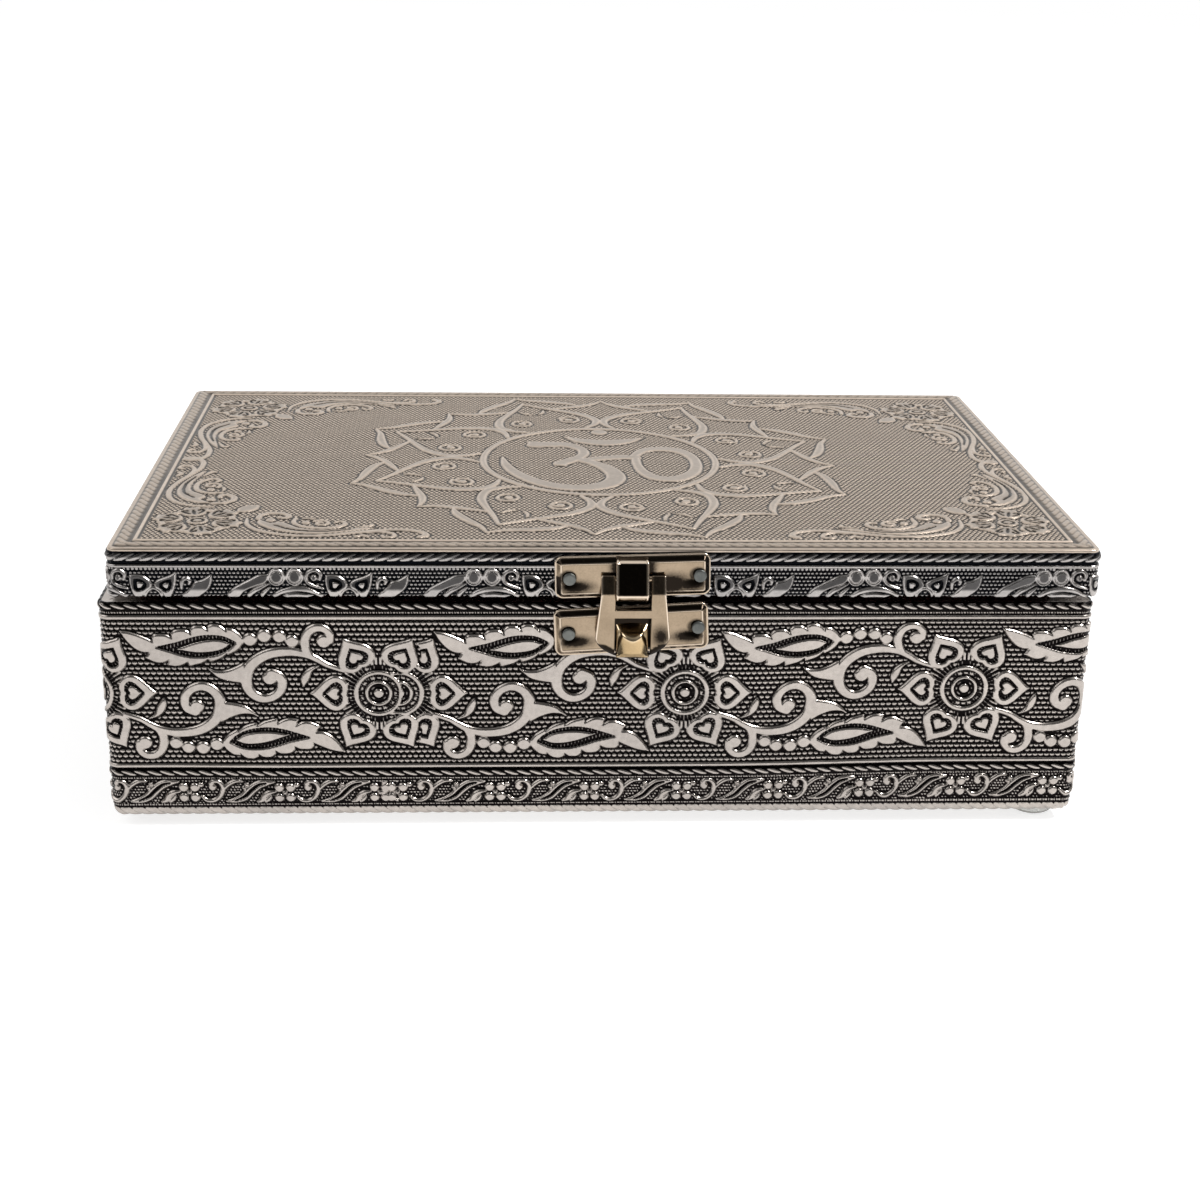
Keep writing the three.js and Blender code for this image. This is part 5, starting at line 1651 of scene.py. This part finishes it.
def latch_strap():
    """The loop that carries the hasp's bar, folded out of the upper plate."""
    outer = rounded_path(STRAP_PATH)
    inner = rounded_path(inner_corners(STRAP_PATH, STRAP_THICKNESS), 0.35)
    section = strip_section(STRAP_WIDTH / 2, STRAP_THICKNESS, 0.33)
    share = section[:, 1][:, None, None]
    path = outer[None] * (1 - share) + inner[None] * share
    right = np.broadcast_to(section[:, :1], path.shape[:2])
    out, up = path[..., 0], path[..., 1]
    points = latch_place(right - STRAP_LEFT, out, up)
    # Darkened on its face as a painted dark reflection and low down as painted shade, and lighter along
    # its edges and its two folds as painted highlights
    front = ease((out - 2.7) / 0.2) * ease((up - 3.2) / 0.3)
    inner_face = ease((STRAP_WIDTH / 2 - 0.45 - np.abs(right)) / 0.16)
    dark_reflection_and_shade = np.maximum(0.84 * front * inner_face, 0.5 * ease((2.6 - up) / 0.5))
    sides = ease((np.abs(right) - STRAP_WIDTH / 2 + 0.5) / 0.2)
    wear_and_highlight = most(sides, mound((up - 9.5) / 0.18), mound((up - 3.1) / 0.22))
    wear_and_highlight = wear_and_highlight * (1 - ease((dark_reflection_and_shade - 0.6) / 0.3))
    piece = loft("hasp_strap", points, {"tarnish_and_shade": dark_reflection_and_shade, "wear_and_highlight": wear_and_highlight})
    finish_piece(piece, champagne, "lid", "latch_metal")


def hasp_outline(share):
    """Half width and drop of the hasp's rounded foot, from its waist at 0 to its lowest point at 1."""
    bulge = (HASP_FOOT + HASP_WAIST) / 2
    a, b = np.array([(HASP_WIDE, HASP_WAIST), (HASP_WIDE, bulge)])
    c, d = np.array([(HASP_WIDE / 2, HASP_FOOT), (0, HASP_FOOT)])
    t = np.asarray(share, float)[..., None]
    return (1 - t) ** 3 * a + 3 * (1 - t) ** 2 * t * b + 3 * (1 - t) * t**2 * c + t**3 * d


def hasp_grid():
    """Places of the hasp as rows of across and drop, the rows at which its windows start and end,
    and the number of columns across one leg."""
    near = np.array([0, 0.05, 0.12, 0.21, 0.32, 0.5, 0.8])

    wrap = WOUND - PIVOT_RADIUS * np.linspace(2.4, 0, 9)[:-1]
    ears = np.concatenate([wrap, np.linspace(WOUND, HASP_CREASE - 0.4, 6)])
    ears = np.concatenate([ears, HASP_CREASE + np.linspace(-0.3, 0.3, 7)])
    ears = np.concatenate([ears, [3.6, 4.6, 5.3], UPPER_WINDOW - near[1:4][::-1]])
    shrunk = near * (LOWER_WINDOW[0] - UPPER_WINDOW) / 2.6
    crossbar = np.concatenate([UPPER_WINDOW + shrunk, LOWER_WINDOW[0] - shrunk[::-1]])
    legs = np.linspace(LOWER_WINDOW[0], HASP_WAIST, 9)[1:]
    drops = np.concatenate([ears, crossbar, legs])
    half = np.interp(drops, [HASP_CREASE, HASP_WAIST], [HASP_TOP, HASP_WIDE])

    leg = np.array([0, 0.013, 0.035, 0.06, 0.1, 0.2, 0.35, 0.5, 0.65, 0.8, 0.9, 0.94, 0.965, 0.987, 1])
    centre = np.linspace(-1, 1, 19)[1:-1] * WINDOW
    widths = WINDOW + (half[:, None] - WINDOW) * leg
    gap = np.broadcast_to(centre, (len(drops), len(centre)))
    upper = np.concatenate([-widths[:, ::-1], gap, widths], axis=1)
    upper = np.stack([upper, np.broadcast_to(drops[:, None], upper.shape)], axis=2)

    shares = np.linspace(0, 1, 400)
    curve = hasp_outline(shares)
    meets = float(np.interp(-WINDOW, -curve[:, 0], shares))
    corner = 0.45
    foot = float(hasp_outline(meets)[1])
    lower_edge = (LOWER_WINDOW[1] - HASP_WAIST) / (foot - HASP_WAIST)
    down = np.concatenate([np.linspace(0, lower_edge, 9)[1:], np.linspace(lower_edge, 1, 9)[1:]])
    inner = np.stack([np.full(len(down), WINDOW), HASP_WAIST + down * (foot - HASP_WAIST)], axis=1)
    outer = hasp_outline(down * corner)
    top = np.stack([WINDOW + leg * (HASP_WIDE - WINDOW), np.full(len(leg), HASP_WAIST)], axis=1)
    bottom = hasp_outline(meets + leg * (corner - meets))
    c, t = leg[None, :, None], down[:, None, None]
    patch = (1 - c) * inner[:, None] + c * outer[:, None] + (1 - t) * top[None] + t * bottom[None]
    above = (1 - c) * (1 - t) * top[0] + c * (1 - t) * top[-1]
    patch -= above + (1 - c) * t * bottom[0] + c * t * bottom[-1]
    ends = np.interp(np.abs(centre), curve[::-1, 0], curve[::-1, 1])
    middle = np.zeros((len(down), len(centre), 2))
    middle[..., 0] = centre
    for row, share in enumerate(down):
        if share <= lower_edge:
            middle[row, :, 1] = HASP_WAIST + share * (foot - HASP_WAIST)
        else:
            part = (share - lower_edge) / (1 - lower_edge)
            middle[row, :, 1] = LOWER_WINDOW[1] + part * (ends - LOWER_WINDOW[1])
    mirror = patch[:, ::-1] * np.array([-1, 1])
    lower = np.concatenate([mirror, middle, patch], axis=1)
    grid = np.concatenate([upper, lower])
    first_bar = len(ears)
    last_bar = len(ears) + len(crossbar) - 1
    last_open = len(drops) + 7
    return grid, (first_bar, last_bar, last_open), len(leg)


def latch_hasp():
    """The swinging hasp: two ears on its bar, a crossbar between two windows and a curled foot."""
    grid, (first_bar, last_bar, last_open), leg = hasp_grid()
    u, v = grid[..., 0], grid[..., 1]
    # How far in from its outline and from its windows each place lies
    wide = np.interp(v, [HASP_CREASE, HASP_WAIST], [HASP_TOP, HASP_WIDE])
    to_side = wide - np.abs(u)
    curve = hasp_outline(np.linspace(0, 1, 300))
    gaps = np.hypot(np.abs(u)[..., None] - curve[:, 0], v[..., None] - curve[:, 1]).min(axis=-1)
    to_outline = np.where(v < HASP_WAIST, np.minimum(to_side, gaps), gaps)
    from_upper = np.hypot(np.clip(np.abs(u) - WINDOW, 0, None), np.clip(v - UPPER_WINDOW, 0, None))
    middle, tall = sum(LOWER_WINDOW) / 2, (LOWER_WINDOW[1] - LOWER_WINDOW[0]) / 2
    from_lower = np.hypot(
        np.clip(np.abs(u) - WINDOW, 0, None), np.clip(np.abs(v - middle) - tall, 0, None)
    )
    inset = np.minimum(to_outline, np.minimum(from_upper, from_lower))

    # The ears lean back from the crease to the bar, and are wound round it
    ear_angle = math.atan2(HASP_OUT - PIVOT[0] + WOUND, HASP_CREASE - WOUND)
    ear = HASP_OUT - (HASP_CREASE - v) * math.tan(ear_angle)
    plane = lesser(ear, HASP_OUT + 0 * v, 0.25)
    lean = ear_angle * ease((HASP_CREASE + 0.3 - v) / 0.6)
    wrapped = np.clip(WOUND - v, 0, None) / PIVOT_RADIUS
    angle = math.pi / 4 + wrapped
    wound = wrapped > 0
    reach = PIVOT_RADIUS + 0.02
    out = np.where(wound, PIVOT[0] + reach * np.cos(angle), plane)
    drop = np.where(wound, -reach * np.sin(angle), v)
    lean = np.where(wound, angle, lean)
    curl = 0.7 * np.clip(1 - to_outline / 1.5, 0, 1) ** 2 * ease((v - 11.3) / 1.8)
    out = out - curl

    def layer(depth):
        deep_out = out - depth * np.cos(lean)
        deep_up = PIVOT[1] - drop - depth * np.sin(lean)
        return latch_place(u, deep_out, deep_up)

    dip = rounding(inset, 0.24)
    thick = np.where(wound, HASP_THICKNESS_AT_BAR, HASP_THICKNESS)
    faces = grid_faces(*u.shape)
    row, column = np.divmod(np.arange(len(faces)), u.shape[1] - 1)
    centred = (column >= leg - 1) & (column < u.shape[1] - leg)
    open_rows = (row < first_bar) | ((row >= last_bar) & (row <= last_open))
    faces = faces[~(centred & open_rows)]
    # Lighter along its edges as painted highlights; darker at the ears by the bar, in the foot's curl
    # and on one leg as patina and painted dark reflection, and round the lower window as painted shade
    wear_and_highlight = ease((0.34 - to_outline) / 0.14) * ease((13.6 - v) / 0.6)
    face = ease((inset - 0.2) / 0.2)
    right_leg = mound((u - 5.7) / 1.9) * mound((v - 11.6) / 2.3)
    tarnish_and_shade = most(
        0.62 * ease((2.7 - v) / 0.25) * face,
        1.1 * ease((1.6 - to_outline) / 0.4) * ease((v - 12.9) / 0.8),
        0.95 * right_leg * face,
        0.5 * ease((0.3 - from_lower) / 0.2),
    )
    shades = {"tarnish_and_shade": tarnish_and_shade, "wear_and_highlight": wear_and_highlight}
    piece = shell("hasp_plate", layer(dip), layer(thick - 0.5 * dip), faces, shades)
    finish_piece(piece, champagne, "hasp", "latch_metal", "latch_hasp")
    end = HASP_TOP - 0.05
    profile = [(0, -end), (0.5, -end), (HASP_BAR_RADIUS, -HASP_TOP + 0.2)]
    profile += [(HASP_BAR_RADIUS, HASP_TOP - 0.2), (0.5, end), (0, end)]
    place = (LATCH[0], LATCH[1] - PIVOT[0], LATCH[2] + PIVOT[1])
    bar = turned_form("hasp_bar", profile, place, 24, ((0, 0, 1), (1, 0, 0), (0, 1, 0)))
    finish_piece(bar, champagne, "hasp", "latch_metal")


def latch_catch():
    """The catch: a rounded prow with a sloping top whose lip hooks over the hasp's foot."""
    foot, top, half = -4.55, 2.3, 3.32
    near = (0, 0.03, 0.08, 0.16, 0.28, 0.45)
    u, r, inset = slab_points((-half, foot), (half, top), corner=0.35, pitch=0.16, near=near)
    bend = 0.15 + 0.42 * np.clip((r + 3.9) / 5.0, 0, 1)
    prow = 4.9 - bend * (np.sqrt(u * u + 0.12) ** 1.5 - 0.2)
    under = 5.0 - 0.35 * np.clip(-3.2 - r, 0, None) ** 1.6
    prow = lesser(prow, under, 0.25)
    facet = 0.8 + 1.36 * (top - r) - 0.05 * u * u
    surface = lesser(prow, facet, 0.4)
    base = np.where(r < -3.98, 4.32, 1.2)
    out = base + (np.maximum(surface, base + 0.05) - base) * quarter_round(inset / 0.4)
    # Its sloping top is darkened as a painted dark reflection, its foot and sides as painted shade, and
    # the crease of its prow and its side edges are lightened as painted highlights
    upper = 0.5 * ease((prow - facet - 0.3) / 0.3)
    tarnish_and_shade = most(upper, 0.42 * ease((-3.4 - r) / 0.4), 0.8 * ease((np.abs(u) - 3.0) / 0.25))
    side_edge = 0.6 * mound((np.abs(u) - 2.75) / 0.3) * (r < 0.5)
    wear_and_highlight = np.maximum(mound((prow - facet) / 0.55), side_edge)
    up = CATCH_RISE + r
    faces = grid_faces(*u.shape)[:, ::-1]
    back = latch_place(u, base - 0.02 * (base > 2), up)
    shades = {"tarnish_and_shade": tarnish_and_shade, "wear_and_highlight": wear_and_highlight}
    piece = shell("catch_prow", latch_place(u, out, up), back, faces, shades)
    finish_piece(piece, gold, "base", "latch_metal", "latch_catch")


def make_nails():
    """Flat, slightly worn nail heads on their shanks."""
    for node in sorted(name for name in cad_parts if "_nail_" in name):
        low, high = corners(node)
        middle = (low + high) / 2
        at_front = middle[1] < 0
        seat = -low[1] if at_front else high[1]
        tip = -high[1] if at_front else low[1]
        radius = (high[0] - low[0]) / 2
        if node.startswith("latch"):
            seat -= NAIL_SUNK
        profile = [(0, tip), (0.25, tip + 0.6), (0.5, tip + 1.4), (0.5, seat - 0.7)]
        head = [(0.93, 0.68), (1, 0.58), (1, 0.3), (0.97, 0.14), (0.88, 0.05), (0.6, 0)]
        head += [(0.3, 0.03), (0, 0.04)]
        profile += [(radius * share, seat - below) for share, below in head]
        turn = ((1, 0, 0), (0, 0, -1), (0, 1, 0)) if at_front else ((-1, 0, 0), (0, 0, 1), (0, 1, 0))
        piece = turned_form(f"head_{node}", profile, (middle[0], 0, middle[2]), 40, turn)
        finish_piece(piece, steel, "lid" if middle[2] > base_rim else "base", "nail_steel", node)


upper_size, lower_size = (31.1, 8.8), (31.1, 9.9)
latch_plate("upper_plate", "latch_upper_plate", "lid", upper_size, 6.05, tilt=1.7, strapped=True)
latch_plate("lower_plate", "latch_lower_plate", "base", lower_size, CATCH_RISE, tilt=3.2, strapped=False)
latch_strap()
latch_hasp()
latch_catch()
make_nails()


# CAD pieces that stay, each with its own finish

def refine(node, material, bevel=0.0):
    """A finish for a CAD node, with its edges eased when a bevel is given."""
    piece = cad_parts[node]
    piece.data.materials.clear()
    piece.data.materials.append(material)
    smooth_faces(piece.data)
    if bevel:
        eased = piece.modifiers.new("eased_edges", "BEVEL")
        eased.width = bevel * MM
        eased.segments = 3
        eased.limit_method = "ANGLE"
        eased.angle_limit = math.radians(28)
        eased.use_clamp_overlap = True
        piece.modifiers.new("weighted_normals", "WEIGHTED_NORMAL").keep_sharp = True


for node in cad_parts:
    if node.startswith(("wall_board", "floor_board", "lid_rail", "lid_panel")):
        refine(node, wood)
    elif node.startswith("hinge_") and "nail" not in node:
        refine(node, champagne, 0.12)


# Camera, lights and floor

CAMERA_PLACE = (-22.88, -429.94, 180.45 + base_rim - PATTERN_RIM)
CAMERA_ACROSS = (0.99836923, -0.05353487, 0.01982186)
CAMERA_UP = (-0.00027708, 0.34267567, 0.93945373)
CAMERA_BACK = (-0.05708601, -0.93792718, 0.34210201)
CAMERA_FOCUS = 58.395
SENSOR = 36.0
LAMP_TARGET = (0, 0, 0.03)
AMBIENT = 0.55
DARK_SIDE = 0.88
FLOOR_HALF = 3.0
FLOOR_GLOW = 0.72


def make_camera():
    camera = linked("camera", bpy.data.cameras.new("camera"))
    camera.data.lens = CAMERA_FOCUS
    camera.data.sensor_width = SENSOR
    camera.data.clip_start = 0.01
    camera.data.clip_end = 20
    turn = Matrix((CAMERA_ACROSS, CAMERA_UP, CAMERA_BACK)).transposed()
    camera.matrix_world = Matrix.LocRotScale([v * MM for v in CAMERA_PLACE], turn.to_quaternion(), None)
    bpy.context.scene.camera = camera


def softbox(name, place, size, watts):
    """A large lamp that faces the box. Places and sizes are in metres."""
    lamp = bpy.data.lights.new(name, "AREA")
    lamp.shape = "RECTANGLE"
    lamp.size, lamp.size_y = size
    lamp.energy = watts
    made = linked(name, lamp)
    made.location = place
    made.rotation_mode = "QUATERNION"
    made.rotation_quaternion = (Vector(place) - Vector(LAMP_TARGET)).to_track_quat("Z", "Y")


def pale_rays(graph):
    """1 for the rays that show the backdrop: seen by the camera, in gloss and through clear parts."""
    rays = graph.add("LightPath").outputs
    shown = graph.maths("MAXIMUM", rays["Is Camera Ray"], rays["Is Glossy Ray"])
    return graph.maths("MAXIMUM", shown, rays["Is Transmission Ray"])


def make_world():
    """White where it is seen or mirrored, and a plain level of light elsewhere. What is mirrored from
    before the box is darker."""
    world = bpy.data.worlds.new("studio")
    bpy.context.scene.world = world
    world.use_nodes = True
    graph = Graph(world.node_tree)
    backdrop = world.node_tree.nodes["Background"]
    level = graph.add("MapRange", {"Value": pale_rays(graph), "To Min": AMBIENT, "To Max": 1.0})
    place = graph.add("TexCoord").outputs["Generated"]
    side = {"Value": graph.add("SeparateXYZ", {0: place}).outputs["Y"]}
    side |= {"From Min": 0.35, "From Max": -0.35, "To Min": 0.0, "To Max": DARK_SIDE}
    dark = graph.add("MapRange", side, interpolation_type="SMOOTHSTEP").outputs["Result"]
    mirrored_ray = graph.add("LightPath").outputs["Is Glossy Ray"]
    taken = graph.maths("MULTIPLY", mirrored_ray, dark)
    graph.give(backdrop.inputs["Color"], (1, 1, 1))
    graph.give(backdrop.inputs["Strength"], graph.maths("SUBTRACT", level.outputs["Result"], taken))


def make_floor():
    """A wide pale floor that keeps the box's soft shadow."""
    half = FLOOR_HALF
    mesh = bpy.data.meshes.new("floor")
    sheet = [(-half, -half, 0), (half, -half, 0), (half, half, 0), (-half, half, 0)]
    mesh.from_pydata(sheet, [], [(0, 1, 2, 3)])
    shader = Shader("pale_floor")
    matt = shader.add("BsdfDiffuse", {"Color": (0.5, 0.5, 0.5)})
    level = shader.maths("MULTIPLY", pale_rays(shader), FLOOR_GLOW)
    glow = shader.add("Emission", {"Color": (1, 1, 1), "Strength": level})
    both = shader.add("AddShader", {0: matt.outputs[0], 1: glow.outputs[0]})
    mesh.materials.append(shader.close(both))
    linked("floor", mesh)


make_camera()
softbox("key_softbox", (0.66, -0.17, 0.86), size=(0.26, 0.2), watts=12)
softbox("fill_softbox", (-0.9, -0.3, 0.9), size=(0.7, 0.7), watts=3)
make_world()
make_floor()
bpy.context.scene.view_settings.view_transform = "Standard"
